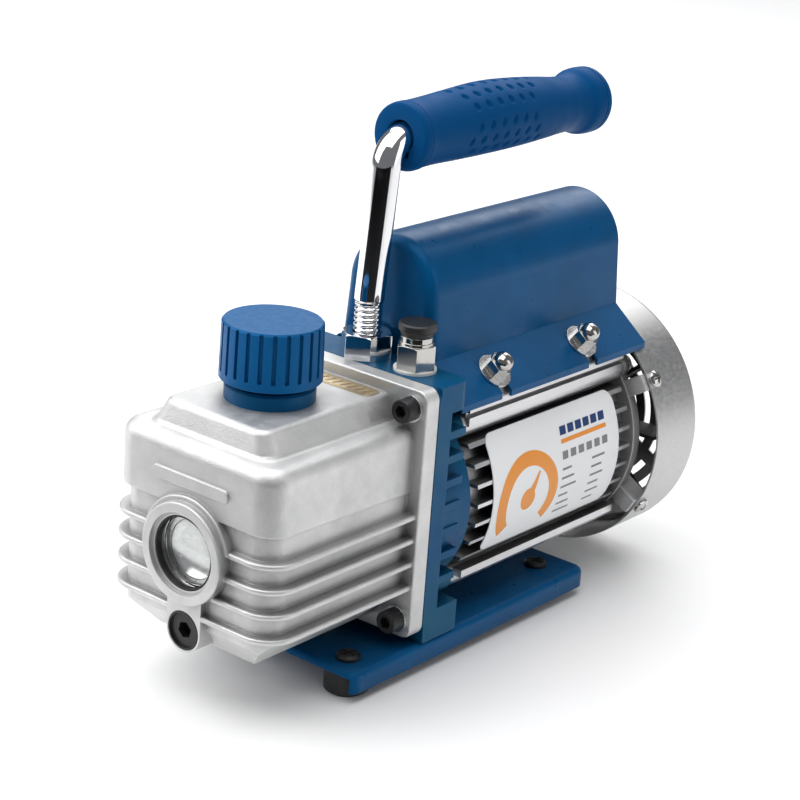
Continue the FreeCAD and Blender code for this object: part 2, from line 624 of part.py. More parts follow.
NUT_FLATS = 20.0
NUT_TOP = PLATE_TOP + 10.8
GRIP_RIM_R = 15.4
GRIP_ROWS = [             # y, radius and rise of the centre, from the front rim to the waist at the rear
    (GRIP_FRONT, 14.4, -0.1),
    (GRIP_FRONT + 3.0, 14.9, -0.2),
    (GRIP_FRONT + 8.0, 14.6, 0.0),
    (GRIP_FRONT + 16.0, 14.6, 0.3),
    (GRIP_FRONT + 32.0, 15.2, 0.7),
    (GRIP_FRONT + 56.0, 15.9, 1.3),
    (GRIP_FRONT + 77.0, 15.3, 1.0),
    (GRIP_FRONT + 97.0, 14.0, 0.5),
    (GRIP_FRONT + 110.0, 12.9, 0.1),
    (GRIP_FRONT + 119.0, 13.0, 0.0),
]


def handle_grip():
    """A soft sleeve: a barrel body that swells under the palm, and a round rim at the rear."""
    rings = []
    for y, radius, rise in GRIP_ROWS:
        rings.append(Part.Wire(Part.makeCircle(radius, vec(0, y, GRIP_Z + rise), Y_AXIS)))
    body = Part.makeLoft(rings, True, False)
    body = body.makeFillet(1.2, [e for e in body.Edges if e.BoundBox.YMax < GRIP_FRONT + 0.1])
    rear = GRIP_REAR
    r = GRIP_RIM_R
    profile = [(0, rear - 18.0), (r - 3.0, rear - 18.0), (r - 2.0, rear - 14.6), (r - 0.6, rear - 11.6),
               (r, rear - 8.0), (r, rear - 2.4), (r - 0.6, rear - 0.9), (r - 2.0, rear), (0, rear)]
    grip = fuse_all([body, revolve_y(profile, GRIP_Z)])
    grip = grip.cut(cyl_y(ROD_R, GRIP_FRONT - 1, rear - 8, 0, GRIP_Z))
    mouth = cyl_y(ROD_R + 2.6, GRIP_FRONT - 1, GRIP_FRONT + 9.0, 0, GRIP_Z)
    notch = box(-6.6, 6.6, GRIP_FRONT - 1, GRIP_FRONT + 3.0, GRIP_Z - 10.0, GRIP_Z)
    return grip.cut(mouth).cut(notch)


# ---------------------------------------------------------------- intake
INTAKE_SPIGOT_R = 6.0
FLARE_R = 5.56
FLARE_TOP = 149.2
HEX_TOP = 141.4
COLLAR_NECK_R = 6.9
COLLAR_NECK_TOP = HEX_TOP + 3.6
WASHER_TOP = PLATE_TOP + 1.3


def intake_washer():
    return tube_z(9.2, INTAKE_SPIGOT_R + 0.1, PLATE_TOP, WASHER_TOP, INTAKE_X, INTAKE_Y)


def intake_fitting():
    """A hex fitting with a flare stub above it and a spigot in the bracket."""
    hexagon_body = hexagon(15.8, INTAKE_X, INTAKE_Y, WASHER_TOP, HEX_TOP, 10.0)
    stub = revolve_z([(0, HEX_TOP - 1), (FLARE_R, HEX_TOP - 1), (FLARE_R, FLARE_TOP - 2.2), (3.4, FLARE_TOP),
                      (0, FLARE_TOP)], INTAKE_X, INTAKE_Y)
    spigot = cyl_z(INTAKE_SPIGOT_R, 119.0, WASHER_TOP + 1, INTAKE_X, INTAKE_Y)
    collar = cyl_z(7.4, HEX_TOP - 0.5, HEX_TOP + 1.2, INTAKE_X, INTAKE_Y)
    collar = collar.fuse(cyl_z(COLLAR_NECK_R, HEX_TOP, COLLAR_NECK_TOP, INTAKE_X, INTAKE_Y))
    body = fuse_all([hexagon_body, stub, spigot, collar])
    return body.cut(cyl_z(2.4, 118.0, FLARE_TOP + 1, INTAKE_X, INTAKE_Y))


def inlet_filter():
    """A short screen tube in the intake's lower bore."""
    return tube_z(2.3, 1.5, 120.0, 136.0, INTAKE_X, INTAKE_Y)


def intake_dust_cap():
    low = COLLAR_NECK_TOP + 0.3
    inner = FLARE_R + 0.12
    ceiling = FLARE_TOP + 0.3
    profile = [(inner, low), (7.0, low), (7.4, ceiling - 2.4), (8.2, ceiling - 1.9), (8.2, ceiling + 0.7),
               (7.4, ceiling + 1.3), (0, ceiling + 1.3), (0, ceiling), (inner, ceiling)]
    return revolve_z(profile, INTAKE_X, INTAKE_Y)


# ---------------------------------------------------------------- capacitor cover
FLANGE_START = (26.0, 130.0)
FLANGE_END = (LIP_X, 115.4)
LIP_LOW = 112.4
SLANT = math.atan2(FLANGE_START[1] - FLANGE_END[1], FLANGE_END[0] - FLANGE_START[0])
COVER_EDGE = 5.0          # rounding of the cover's front edge
STUD_ALONG = 12.8         # from the top of the slanted flange down to the studs
NUT_HEX = 5.5
NUT_HEIGHT = 10.2
NUT_DOME_R = 4.6


def flange_point(along, out):
    """A point (x, z) on the right slanted flange: along it, and out from its outer face."""
    x = FLANGE_START[0] + along * math.cos(SLANT) + out * math.sin(SLANT)
    z = FLANGE_START[1] - along * math.sin(SLANT) + out * math.cos(SLANT)
    return x, z


def cover_side():
    """One side of the cover in section: the slanted flange and the lip below it."""
    outer = [FLANGE_START, FLANGE_END, (LIP_X, LIP_LOW)]
    inner = [(LIP_X - SHEET, LIP_LOW), (LIP_X - SHEET, FLANGE_END[1] - 0.6),
             (FLANGE_START[0] - SHEET + 0.2, FLANGE_START[1] - 0.6)]
    return prism_y(outer + inner, COVER_FRONT, COVER_REAR)


def arch_face(radius, half_low, z_low, y0, y1):
    """A plate with an arched top: the cover's end."""
    arch = cyl_y(radius, y0, y1, 0, COVER_Z)
    trunk = prism_y([(-radius, COVER_Z), (-half_low, z_low), (half_low, z_low), (radius, COVER_Z)], y0, y1)
    return fuse_all([arch, trunk])


def stud_slot(y):
    """A slot from the stud down through the flange's lower edge."""
    width = 3.2
    corners = [flange_point(STUD_ALONG, -3.0), flange_point(STUD_ALONG, 3.0), (LIP_X + 4.0, LIP_LOW - 1.0),
               (LIP_X - 5.0, LIP_LOW - 3.0)]
    low = prism_y(corners, y - width, y + width)
    x, z = flange_point(STUD_ALONG, -3.0)
    return low.fuse(Part.makeCylinder(width, 6.0, vec(x, y, z), slant_normal()))


def slant_normal():
    return vec(math.sin(SLANT), 0, math.cos(SLANT))


def cover_block(inset, low, y_rear):
    """The solid inside the cover's outer or inner skin, with a round front edge."""
    front = COVER_FRONT + inset
    block = arch_face(COVER_R - inset, FLANGE_START[0] + 0.05 - inset, low, front, y_rear)
    rim = [e for e in block.Edges if e.BoundBox.YMax < front + 0.1 and e.BoundBox.ZMax > low + 1]
    return block.makeFillet(COVER_EDGE - inset, rim)


def capacitor_cover():
    """Drawn sheet over the capacitor, closed at the front, with slotted flanges on both sides."""
    low = FLANGE_START[1] - 1.0
    shell = cover_block(0.0, low, COVER_REAR).cut(cover_block(SHEET, low - 1.0, COVER_REAR + 1))
    side = cover_side()
    for y in STUD_YS:
        side = side.cut(stud_slot(y))
    apron_x, apron_z = flange_point(14.0, 0.0)
    outline = [(-apron_x, 118.0), (apron_x, 118.0), (apron_x, apron_z), FLANGE_START,
               (-FLANGE_START[0], FLANGE_START[1]), (-apron_x, apron_z)]
    apron = prism_y(outline, COVER_FRONT, COVER_FRONT + SHEET)
    return fuse_all([shell, side, side.mirror(vec(0, 0, 0), X_AXIS), apron])


END_PLATE_LOW = 131.4
INLET_Z = 143.0
SWITCH_Z = 167.0


def cover_end_plate():
    """The rear end of the cover, cut out for the power inlet and the switch."""
    inside = COVER_R - SHEET
    plate = arch_face(inside - 0.05, inside + 1.6, END_PLATE_LOW, COVER_REAR - 1.5, COVER_REAR)
    plate = plate.cut(box(-13.5, 13.5, 110, 120, INLET_Z - 10.0, INLET_Z + 10.0))
    return plate.cut(box(-6.9, 6.9, 110, 120, SWITCH_Z - 10.2, SWITCH_Z + 10.2))


def cover_hardware(y, part):
    """The stud, washer or acorn nut that holds the right flange at this y."""
    normal = slant_normal()
    x, z = flange_point(STUD_ALONG, 0.0)
    seat = vec(x, y, z)
    if part == "stud":
        return Part.makeCylinder(3.0, 19.0, seat - normal * 11.0, normal)
    if part == "washer":
        ring = Part.makeCylinder(8.2, WASHER, seat, normal)
        return ring.cut(Part.makeCylinder(3.1, WASHER + 2, seat - normal, normal))
    corner = 10.0 / math.sqrt(3)
    base = seat + normal * WASHER
    side = normal.cross(Y_AXIS) * corner
    along = Y_AXIS * corner
    turns = [math.radians(60 * i) for i in range(6)]
    points = [base + side * math.cos(a) + along * math.sin(a) for a in turns]
    nut = prism(points, normal * NUT_HEX)
    dome = Part.makeCylinder(NUT_DOME_R, NUT_HEIGHT - 2.0, base + normal * 2.0, normal)
    rounds = [e for e in dome.Edges if e.isClosed()]
    rim = [e for e in rounds if (e.BoundBox.Center - base).dot(normal) > NUT_HEIGHT - 0.1]
    dome = dome.makeFillet(NUT_DOME_R - 0.9, rim)
    return fuse_all([nut, dome]).cut(Part.makeCylinder(3.0, 9.0, base - normal * 1.0, normal))


def hardware_set(part):
    solids = []
    for y in STUD_YS:
        right = cover_hardware(y, part)
        solids += [right, right.mirror(vec(0, 0, 0), X_AXIS)]
    return solids


# ---------------------------------------------------------------- electrics
RECESS_HALF_X = 12.2
RECESS_HALF_Z = 8.4
RECESS_DEPTH_Y = 101.0
PANEL_FRONT = COVER_REAR + 2.4


def power_inlet():
    """An appliance inlet with a flange on the end plate and a recess for the lead's connector."""
    flange = rounded_plate(15.0, INLET_Z - 11.2, INLET_Z + 11.2, 2.0, COVER_REAR, PANEL_FRONT)
    shell = box(-13.4, 13.4, 97.0, COVER_REAR + 1, INLET_Z - 9.9, INLET_Z + 9.9)
    low = INLET_Z - RECESS_HALF_Z
    high = INLET_Z + RECESS_HALF_Z
    recess = box(-RECESS_HALF_X, RECESS_HALF_X, RECESS_DEPTH_Y, 120.0, low, high)
    uprights = [e for e in recess.Edges if e.BoundBox.YLength > 10 and e.BoundBox.ZMin > INLET_Z]
    recess = recess.makeChamfer(3.0, uprights)
    body = flange.fuse(shell).cut(recess).removeSplitter()
    for x, z in PIN_SPOTS:
        body = body.cut(box(x - 1, x + 1, 95.0, 102.0, z - 2, z + 2))
    return body


PIN_SPOTS = [(-7.0, INLET_Z - 1.5), (0.0, INLET_Z + 2.5), (7.0, INLET_Z - 1.5)]


def inlet_pin(x, z):
    pin = box(x - 1, x + 1, 92.0, 114.5, z - 2, z + 2)
    tip = [e for e in pin.Edges if e.BoundBox.YMin > 114.4]
    return pin.makeChamfer(0.6, tip)


ROCKER_Y = 110.5
ROCKER_TILT = 9.0


def switch_frame():
    flange = rounded_plate(7.6, SWITCH_Z - 11.0, SWITCH_Z + 11.0, 1.5, COVER_REAR, PANEL_FRONT - 0.6)
    shell = box(-6.8, 6.8, 101.0, COVER_REAR + 1, SWITCH_Z - 10.1, SWITCH_Z + 10.1)
    room = box(-5.8, 5.8, 104.5, 120.0, SWITCH_Z - 9.4, SWITCH_Z + 9.4)
    frame = flange.fuse(shell).cut(room).removeSplitter()
    pin = cyl_x(1.2, -6.2, 6.2, ROCKER_Y, SWITCH_Z)
    return frame.fuse(pin).removeSplitter()


def switch_rocker():
    """A shallow V-shaped rocker on its pin, resting with its lower end pressed in."""
    y = ROCKER_Y
    z = SWITCH_Z
    outline = [(y - 3.0, z - 3.0), (y + 3.0, z - 8.0), (y + 7.8, z - 8.0), (y + 6.2, z),
               (y + 7.8, z + 8.0), (y + 3.0, z + 8.0), (y - 3.0, z + 3.0)]
    rocker = prism_x(outline, -5.4, 5.4)
    rocker = rocker.cut(cyl_x(1.2 + FIT_GAP, -7.0, 7.0, y, z))
    rocker.rotate(vec(0, y, z), X_AXIS, -ROCKER_TILT)
    return rocker


CAPACITOR_R = 17.0
CAPACITOR_Z = 151.0
CAPACITOR_YS = (12.0, 80.0)
CLAMP_YS = (40.0, 52.0)
PAD_TOP = SHAFT_Z + HOUSING_R + 0.6


def run_capacitor():
    can = cyl_y(CAPACITOR_R, CAPACITOR_YS[0], CAPACITOR_YS[1], 0, CAPACITOR_Z)
    can = can.makeFillet(1.5, [e for e in can.Edges if e.BoundBox.YLength < 0.1])
    rear = CAPACITOR_YS[1]
    z = CAPACITOR_Z
    tabs = [box(x - 3, x + 3, rear - 0.5, rear + 8.0, z - 0.4, z + 0.4) for x in (-7.0, 7.0)]
    return fuse_all([can] + tabs)


def capacitor_clamp():
    y0, y1 = CLAMP_YS
    hoop = tube_y(CAPACITOR_R + 1.5, CAPACITOR_R, y0, y1, 0, CAPACITOR_Z)
    post = box(-9.0, 9.0, y0, y1, PAD_TOP, CAPACITOR_Z - 8)
    post = post.cut(cyl_y(CAPACITOR_R, y0 - 1, y1 + 1, 0, CAPACITOR_Z))
    foot = box(-15.0, 15.0, y0, y1, PAD_TOP, PAD_TOP + 2.0)
    return fuse_all([hoop, post, foot])


# ---------------------------------------------------------------- motor
BOLT_BOSS_R = 5.6


def motor_housing():
    """Extruded body with level side fins, a pad under each cover flange and a rail at each lower corner."""
    y0 = BRACKET_REAR
    y1 = HOUSING_REAR
    pieces = [cyl_y(HOUSING_R, y0, y1)]
    limit = cyl_y(FIN_TIP_R, y0 + 3.0, y1 - 3.0)
    for z in SIDE_FINS:
        pieces.append(box(-60, 60, y0, y1, z - 0.9, z + 0.9).common(limit))
    for x in (-24.0, -12.0, 0.0, 12.0, 24.0):
        pieces.append(box(x - 0.9, x + 0.9, y0, y1, 10, SHAFT_Z).common(limit))
    pads = [flange_point(4.0, -SHEET - 0.1), flange_point(19.5, -SHEET - 0.1), (41.6, 112.0), (41.6, 103.5),
            (33.0, 100.0), (20.0, 108.0)]
    rail = [(30.0, 37.4), (44.0, 37.0), (44.0, 33.7), (33.0, 33.2), (24.0, 30.2)]
    groove = [(45.0, 109.4), (45.0, 107.2), (39.4, 107.2), (39.4, 109.4)]
    for side in (-1, 1):
        pad = prism_y([(side * x, z) for x, z in pads], y0 + 3.0, y1 - 3.0)
        pieces.append(pad.cut(prism_y([(side * x, z) for x, z in groove], y0, y1)))
        pieces.append(prism_y([(side * x, z) for x, z in rail], y0 + 3.0, y1 - 3.0))
    for dx in (-BOLT_RING, BOLT_RING):
        for dz in (-BOLT_RING, BOLT_RING):
            pieces.append(cyl_y(BOLT_BOSS_R, y0, y1, dx, SHAFT_Z + dz))
    pieces.append(box(-15.5, 15.5, CLAMP_YS[0] - 3, CLAMP_YS[1] + 3, 100.0, PAD_TOP))
    body = fuse_all(pieces).cut(cyl_y(MOTOR_BORE_R, y0 - 1, y1 + 1))
    for dx in (-BOLT_RING, BOLT_RING):
        for dz in (-BOLT_RING, BOLT_RING):
            body = body.cut(cyl_y(BOLT_R + 0.2, y0 - 1, y1 + 1, dx, SHAFT_Z + dz))
    for stud in hardware_set("stud"):
        body = body.cut(stud)
    return body


LABEL_R = FIN_TIP_R + 0.1
LABEL_THICK = 0.4


def rating_label():
    """A thin curved plate over the right side fins, with round corners."""
    shell = tube_y(LABEL_R + LABEL_THICK, LABEL_R, -3.5, 92.0)
    window = box(30.0, 60.0, -3.5, 92.0, 43.0, 97.0)
    uprights = [e for e in window.Edges if e.BoundBox.XLength > 10]
    window = window.makeFillet(5.0, uprights)
    return shell.common(window)


STACK = (15.0, 75.0)
SLOT_COUNT = 12
AIR_GAP_R = 22.2
BAR_HALF = 2.8


def slot_bar(half, r0, r1, y0, y1):
    return box(-half, half, y0, y1, SHAFT_Z + r0, SHAFT_Z + r1)


def stator_core():
    core = tube_y(MOTOR_BORE_R - FIT_GAP, AIR_GAP_R, STACK[0], STACK[1])
    for i in range(SLOT_COUNT):
        slot = slot_bar(BAR_HALF + 0.2, AIR_GAP_R + 1.6, 35.0, STACK[0] - 1, STACK[1] + 1)
        mouth = slot_bar(1.0, AIR_GAP_R - 1.0, AIR_GAP_R + 2.0, STACK[0] - 1, STACK[1] + 1)
        core = core.cut(turn_y(slot, 360.0 * i / SLOT_COUNT)).cut(turn_y(mouth, 360.0 * i / SLOT_COUNT))
    return core


def stator_windings():
    pieces = []
    for y0, y1 in ((4.0, STACK[0] - 0.3), (STACK[1] + 0.3, 86.0)):
        ring = tube_y(36.0, AIR_GAP_R + 2.2, y0, y1)
        pieces.append(ring.makeFillet(3.0, [e for e in ring.Edges if e.BoundBox.YLength < 0.1]))
    for i in range(SLOT_COUNT):
        bar = slot_bar(BAR_HALF, AIR_GAP_R + 4.0, 34.6, STACK[0] - 5, STACK[1] + 5)
        pieces.append(turn_y(bar, 360.0 * i / SLOT_COUNT))
    return fuse_all(pieces)


def motor_rotor():
    front, rear = STACK
    core = cyl_y(AIR_GAP_R - 0.4, front, rear)
    rings = [tube_y(20.0, 12.0, front - 5, front + 0.5), tube_y(20.0, 12.0, rear - 0.5, rear + 5)]
    return fuse_all([core] + rings).cut(cyl_y(SHAFT_BODY_R, 0, 90))


SHAFT_BODY_R = 9.0
STUB_R = 6.0
REAR_BEARING = 93.0
COUPLING_MEET = -32.0


def motor_shaft():
    r = BEARING_BORE_R - FIT_GAP
    step = BRACKET_REAR + 1
    shoulder = REAR_BEARING - 1
    stub = REAR_BEARING + BEARING_WIDTH + 0.5
    profile = [(0, COUPLING_MEET), (r, COUPLING_MEET), (r, step), (SHAFT_BODY_R, step),
               (SHAFT_BODY_R, shoulder), (r, shoulder), (r, stub),
               (STUB_R, stub), (STUB_R, 136.0), (0, 136.0)]
    return revolve_y(profile)


def ball_bearing(y0):
    ring = tube_y(BEARING_R, BEARING_BORE_R, y0, y0 + BEARING_WIDTH)
    for start, end in ((y0 - 1, y0 + 0.8), (y0 + BEARING_WIDTH - 0.8, y0 + BEARING_WIDTH + 1)):
        ring = ring.cut(tube_y(14.5, 10.2, start, end))
    return ring


SHIELD_REAR = HOUSING_REAR + 5.0


def rear_end_shield():
    """Closes the motor, holds the rear bearing and carries four lugs for the fan cover."""
    plate = cyl_y(FIN_TIP_R, HOUSING_REAR, SHIELD_REAR)
    spigot = tube_y(MOTOR_BORE_R - FIT_GAP, MOTOR_BORE_R - 3.0, HOUSING_REAR - 4.0, HOUSING_REAR + 1)
    boss = cyl_y(22.0, REAR_BEARING, SHIELD_REAR)
    pieces = [plate, spigot, boss]
    for dx in (-BOLT_RING, BOLT_RING):
        for dz in (-BOLT_RING, BOLT_RING):
            pieces.append(cyl_y(BOLT_BOSS_R, HOUSING_REAR, SHIELD_REAR, dx, SHAFT_Z + dz))
    for angle in FAN_SCREW_ANGLES:
        lug = box(40.0, FAN_COVER_R - 1.2, HOUSING_REAR + 0.5, 117.5, SHAFT_Z - 4.0, SHAFT_Z + 4.0)
        pieces.append(turn_y(lug, -angle))
    shield = fuse_all(pieces)
    shield = shield.cut(cyl_y(BEARING_R, REAR_BEARING - 1, REAR_BEARING + BEARING_WIDTH))
    shield = shield.cut(cyl_y(8.2, REAR_BEARING, SHIELD_REAR + 1))
    for dx in (-BOLT_RING, BOLT_RING):
        for dz in (-BOLT_RING, BOLT_RING):
            shield = shield.cut(cyl_y(BOLT_R + 0.2, HOUSING_REAR - 1, SHIELD_REAR + 1, dx, SHAFT_Z + dz))
    for angle in FAN_SCREW_ANGLES:
        hole = cyl_x(FAN_SCREW_R, 48.0, FAN_COVER_R + 2, FAN_SCREW_Y, SHAFT_Z)
        shield = shield.cut(turn_y(hole, -angle))
    return shield


def tie_bolt(dx, dz):
    z = SHAFT_Z + dz
    head = cyl_y(4.2, SHIELD_REAR, SHIELD_REAR + 3.6, dx, z)
    slot = box(dx - 3.0, dx + 3.0, SHIELD_REAR + 2.4, SHIELD_REAR + 5, z - 0.5, z + 0.5)
    return fuse_all([head, cyl_y(BOLT_R, -29.0, SHIELD_REAR + 1, dx, z)]).cut(slot)


FAN_FRONT = 119.5
FAN_REAR = 134.0
BLADES = 9


def cooling_fan():
    pieces = [cyl_y(13.0, FAN_FRONT, FAN_REAR + 0.5)]
    web = cyl_y(30.0, FAN_FRONT, FAN_FRONT + 1.8)
    pieces.append(web)
    for i in range(BLADES):
        blade = box(10.0, 52.0, FAN_FRONT, FAN_REAR, SHAFT_Z - 0.9, SHAFT_Z + 0.9)
        pieces.append(turn_y(blade, 360.0 * i / BLADES))
    return fuse_all(pieces).cut(cyl_y(STUB_R, FAN_FRONT - 1, FAN_REAR + 1))


FAN_SCREW_R = 2.0
VENT_RINGS = [(15.0, 18.2), (23.0, 26.2), (31.0, 34.2), (39.0, 42.2), (47.0, 50.2)]


def fan_cover():
    """A drawn cup over the fan, open to the front, with rings of air slots in its rear face."""
    thick = 1.0
    cup = cyl_y(FAN_COVER_R, FAN_COVER_FRONT, HALF_LENGTH)
    cup = cup.makeFillet(5.0, [e for e in cup.Edges if e.BoundBox.YMin > HALF_LENGTH - 0.1])
    inside = cyl_y(FAN_COVER_R - thick, FAN_COVER_FRONT - 1, HALF_LENGTH - thick)
    inside = inside.makeFillet(4.0, [e for e in inside.Edges if e.BoundBox.YMin > HALF_LENGTH - thick - 0.1])
    cup = cup.cut(inside)
    spokes = [turn_y(box(-3.5, 3.5, 130, 150, SHAFT_Z, SHAFT_Z + 70), 60.0 * i) for i in range(6)]
    spokes = fuse_all(spokes)
    for r0, r1 in VENT_RINGS:
        cup = cup.cut(tube_y(r1, r0, HALF_LENGTH - 3, HALF_LENGTH + 1).cut(spokes))
    for angle in FAN_SCREW_ANGLES:
        cup = cup.cut(turn_y(cyl_x(FAN_SCREW_R + 0.2, 55.0, 70.0, FAN_SCREW_Y, SHAFT_Z), -angle))
    return cup


def fan_cover_screw(angle):
    """A cross-recess pan head screw, radial to the fan cover."""
    seat = FAN_COVER_R
    y = FAN_SCREW_Y
    dome = Part.makeSphere(6.2, vec(seat - 3.6, y, SHAFT_Z))
    head = dome.common(cyl_x(4.0, seat, seat + 2.6, y, SHAFT_Z))
    skirt = cyl_x(4.0, seat - 0.1, seat + 0.9, y, SHAFT_Z).cut(cyl_y(FAN_COVER_R, 100, 125))
    shank = cyl_x(FAN_SCREW_R, 49.0, seat + 1.0, y, SHAFT_Z)
    screw = fuse_all([head, skirt, shank])
    tip = seat + 1.4
    cross = box(tip, tip + 3, y - 2.4, y + 2.4, SHAFT_Z - 0.45, SHAFT_Z + 0.45)
    other = box(tip, tip + 3, y - 0.45, y + 0.45, SHAFT_Z - 2.4, SHAFT_Z + 2.4)
    return turn_y(screw.cut(cross).cut(other), -angle)


# ---------------------------------------------------------------- pump
PUMP_HALF = 31.0
PUMP_LOW = 37.0
PUMP_TOP = 97.0
PUMP_SCREW_R = 2.5
PUMP_SCREW_SPOTS = [(-26.0, 43.0), (26.0, 43.0), (-26.0, 91.0), (26.0, 91.0)]
VANE_HALF = 2.4
VANE_DEPTH = 12.0
END_GAP = 0.1
VALVE_XS = -10.0
VALVE_YS = (-80.0, -73.5, -67.0)


def pump_block(y0, y1):
    """A block of the pump's outline, drilled for the four long screws."""
    block = rounded_plate(PUMP_HALF, PUMP_LOW, PUMP_TOP, 7.0, y0, y1)
    for x, z in PUMP_SCREW_SPOTS:
        block = block.cut(cyl_y(PUMP_SCREW_R + 0.1, y0 - 1, y1 + 1, x, z))
    return block


def pump_cylinder():
    """The block with the eccentric bore, and outlet holes up to the valve."""
    block = pump_block(PUMP_FRONT, PUMP_REAR)
    block = block.cut(cyl_y(CYLINDER_R, PUMP_FRONT - 1, PUMP_REAR + 1, 0, CYLINDER_Z))
    for y in VALVE_YS:
        block = block.cut(cyl_z(1.8, 80.0, PUMP_TOP + 1, VALVE_XS, y))
    for y in REED_SCREW_YS:
        block = block.cut(cyl_z(1.5, PUMP_TOP - 7, PUMP_TOP + 1, VALVE_XS, y))
    return block


def pump_front_cover():
    cover = pump_block(PUMP_FRONT - PUMP_COVER, PUMP_FRONT)
    return cover.cut(cyl_y(JOURNAL_R + FIT_GAP, PUMP_FRONT - 6.5, PUMP_FRONT + 1))


def pump_rear_cover():
    """The cover against the bracket, with the inlet passage into the cylinder."""
    cover = pump_block(PUMP_REAR, JOINT_Y)
    cover = cover.cut(cyl_y(JOURNAL_R + FIT_GAP, PUMP_REAR - 1, JOINT_Y + 1))
    cover = cover.cut(cyl_y(3.2, PUMP_REAR - 1, JOINT_Y + 1, INTAKE_X, PORT_Z))
    channel = box(14.0, INTAKE_X, PUMP_REAR - 1, PUMP_REAR + 3.0, PORT_Z - 3.0, PORT_Z + 3.0)
    return cover.cut(channel)


def pump_rotor():
    """The slotted rotor with a journal at each end."""
    body = cyl_y(ROTOR_R, PUMP_FRONT + END_GAP, PUMP_REAR - END_GAP)
    journals = cyl_y(JOURNAL_R, PUMP_FRONT - 6.0, COUPLING_MEET)
    slot = VANE_HALF + FIT_GAP
    rotor = body.fuse(journals).removeSplitter()
    for side in (-1, 1):
        x0, x1 = sorted((side * (ROTOR_R - VANE_DEPTH - 0.3), side * (ROTOR_R + 1)))
        rotor = rotor.cut(box(x0, x1, PUMP_FRONT - 0.05, PUMP_REAR + 0.05, SHAFT_Z - slot, SHAFT_Z + slot))
    for y in SPRING_YS:
        x = ROTOR_R - VANE_DEPTH
        rotor = rotor.cut(cyl_x(SPRING_R + 0.5, -x, x, y, SHAFT_Z))
    return rotor


def rotor_vane(side):
    """A vane with a rounded tip, flush with the rotor when it is pushed right in."""
    y0 = PUMP_FRONT + END_GAP
    y1 = PUMP_REAR - END_GAP
    tip = ROTOR_R - 0.02
    vane = box(tip - VANE_DEPTH + 0.2, tip, y0, y1, SHAFT_Z - VANE_HALF, SHAFT_Z + VANE_HALF)
    vane = vane.common(cyl_y(tip, y0, y1))
    return vane if side > 0 else vane.mirror(vec(0, 0, 0), X_AXIS)


SPRING_R = 1.9
SPRING_WIRE = 0.4
SPRING_YS = [PUMP_FRONT + 8.0, PUMP_FRONT + 32.0]


def vane_spring(y):
    """A coil spring through the rotor that pushes the two vanes apart."""
    reach = ROTOR_R - VANE_DEPTH - 0.8
    helix = Part.makeHelix(reach / 4, 2 * reach - 2, SPRING_R)
    section = Part.Wire(Part.makeCircle(SPRING_WIRE, vec(SPRING_R, 0, 0), Y_AXIS))
    coil = Part.Wire(helix.Edges).makePipeShell([section], True, True)
    coil.rotate(vec(0, 0, 0), Y_AXIS, 90)
    coil.translate(vec(-reach + 1, y, SHAFT_Z))
    return coil


def pump_screw(x, z):
    return socket_screw(PUMP_SCREW_R, 4.25, 5.0, PUMP_FRONT - PUMP_COVER, JOINT_Y + 7.5, x, z)


REED_SCREW_YS = (-88.6, -57.7)
REED_THICK = 0.3
REED_BED = 0.05


def exhaust_reed():
    """The spring leaf over the outlet holes, held at its front end."""
    top = PUMP_TOP + REED_BED
    leaf = box(VALVE_XS - 4.5, VALVE_XS + 4.5, -84.6, -62.5, top, top + REED_THICK)
    return leaf.makeFillet(2.0, [e for e in leaf.Edges if e.BoundBox.ZLength > 0.2 and e.BoundBox.YMin > -70])


def reed_stop():
    """The curved stop that limits the reed's lift, on two feet."""
    z = PUMP_TOP
    outline = [(-92.0, z), (-85.0, z), (-85.0, z + 0.8), (-62.1, z + 4.6), (-62.1, z), (-54.6, z),
               (-54.6, z + 1.5), (-60.6, z + 1.5), (-60.6, z + 6.4), (-85.0, z + 2.3), (-92.0, z + 2.3)]
    stop = prism_x(outline, VALVE_XS - 5.5, VALVE_XS + 5.5)
    for y in REED_SCREW_YS:
        stop = stop.cut(cyl_z(1.6, z - 1, z + 10, VALVE_XS, y))
    return stop


def reed_screw(y, seat):
    head = cyl_z(2.6, seat, seat + 2.0, VALVE_XS, y)
    return head.fuse(cyl_z(1.5, PUMP_TOP - 6, seat + 0.5, VALVE_XS, y)).removeSplitter()


def shaft_coupling():
    """A clamped sleeve that joins the pump rotor to the motor shaft."""
    front = COUPLING_MEET - 3.6
    rear = COUPLING_MEET + 3.6
    sleeve = tube_y(13.0, JOURNAL_R, front, rear)
    return sleeve.cut(box(0, 14.0, front - 1, rear + 1, SHAFT_Z - 0.6, SHAFT_Z + 0.6))


# ---------------------------------------------------------------- the whole pump
def corner_spots():
    return [(x, z) for x in (-TANK_SCREW_X, TANK_SCREW_X) for z in TANK_SCREW_ZS]


def bolt_spots():
    return [(dx, dz) for dx in (-BOLT_RING, BOLT_RING) for dz in (-BOLT_RING, BOLT_RING)]


def write_base():
    save("base_channel", base_channel())
    save("rubber_feet", *[rubber_foot(x, y) for x, y in FOOT_SPOTS])
    save("base_screws", *[base_screw(x, y) for x, y in FOOT_SPOTS])
    save("bracket_screws", *[bracket_screw(x, y) for x, y in BRACKET_SCREW_SPOTS])


def write_tank():
    save("oil_tank", oil_tank())
    save("tank_gasket", tank_gasket())
    seat = FLANGE_FRONT - WASHER
    end = JOINT_Y + 8.0
    save("tank_screws", *[socket_screw(TANK_SCREW_R, 5.0, 6.0, seat, end, x, z) for x, z in corner_spots()])
    save("tank_washers", *[tank_washer(x, z) for x, z in corner_spots()])
    save("sight_glass", sight_glass())
    save("sight_o_ring", sight_o_ring())
    save("drain_plug", drain_plug())
    save("drain_o_ring", drain_o_ring())
    save("filler_neck", filler_neck())
    save("filler_cap", filler_cap())
    save("cap_seal", cap_seal())
    save("tank_sticker", tank_sticker())


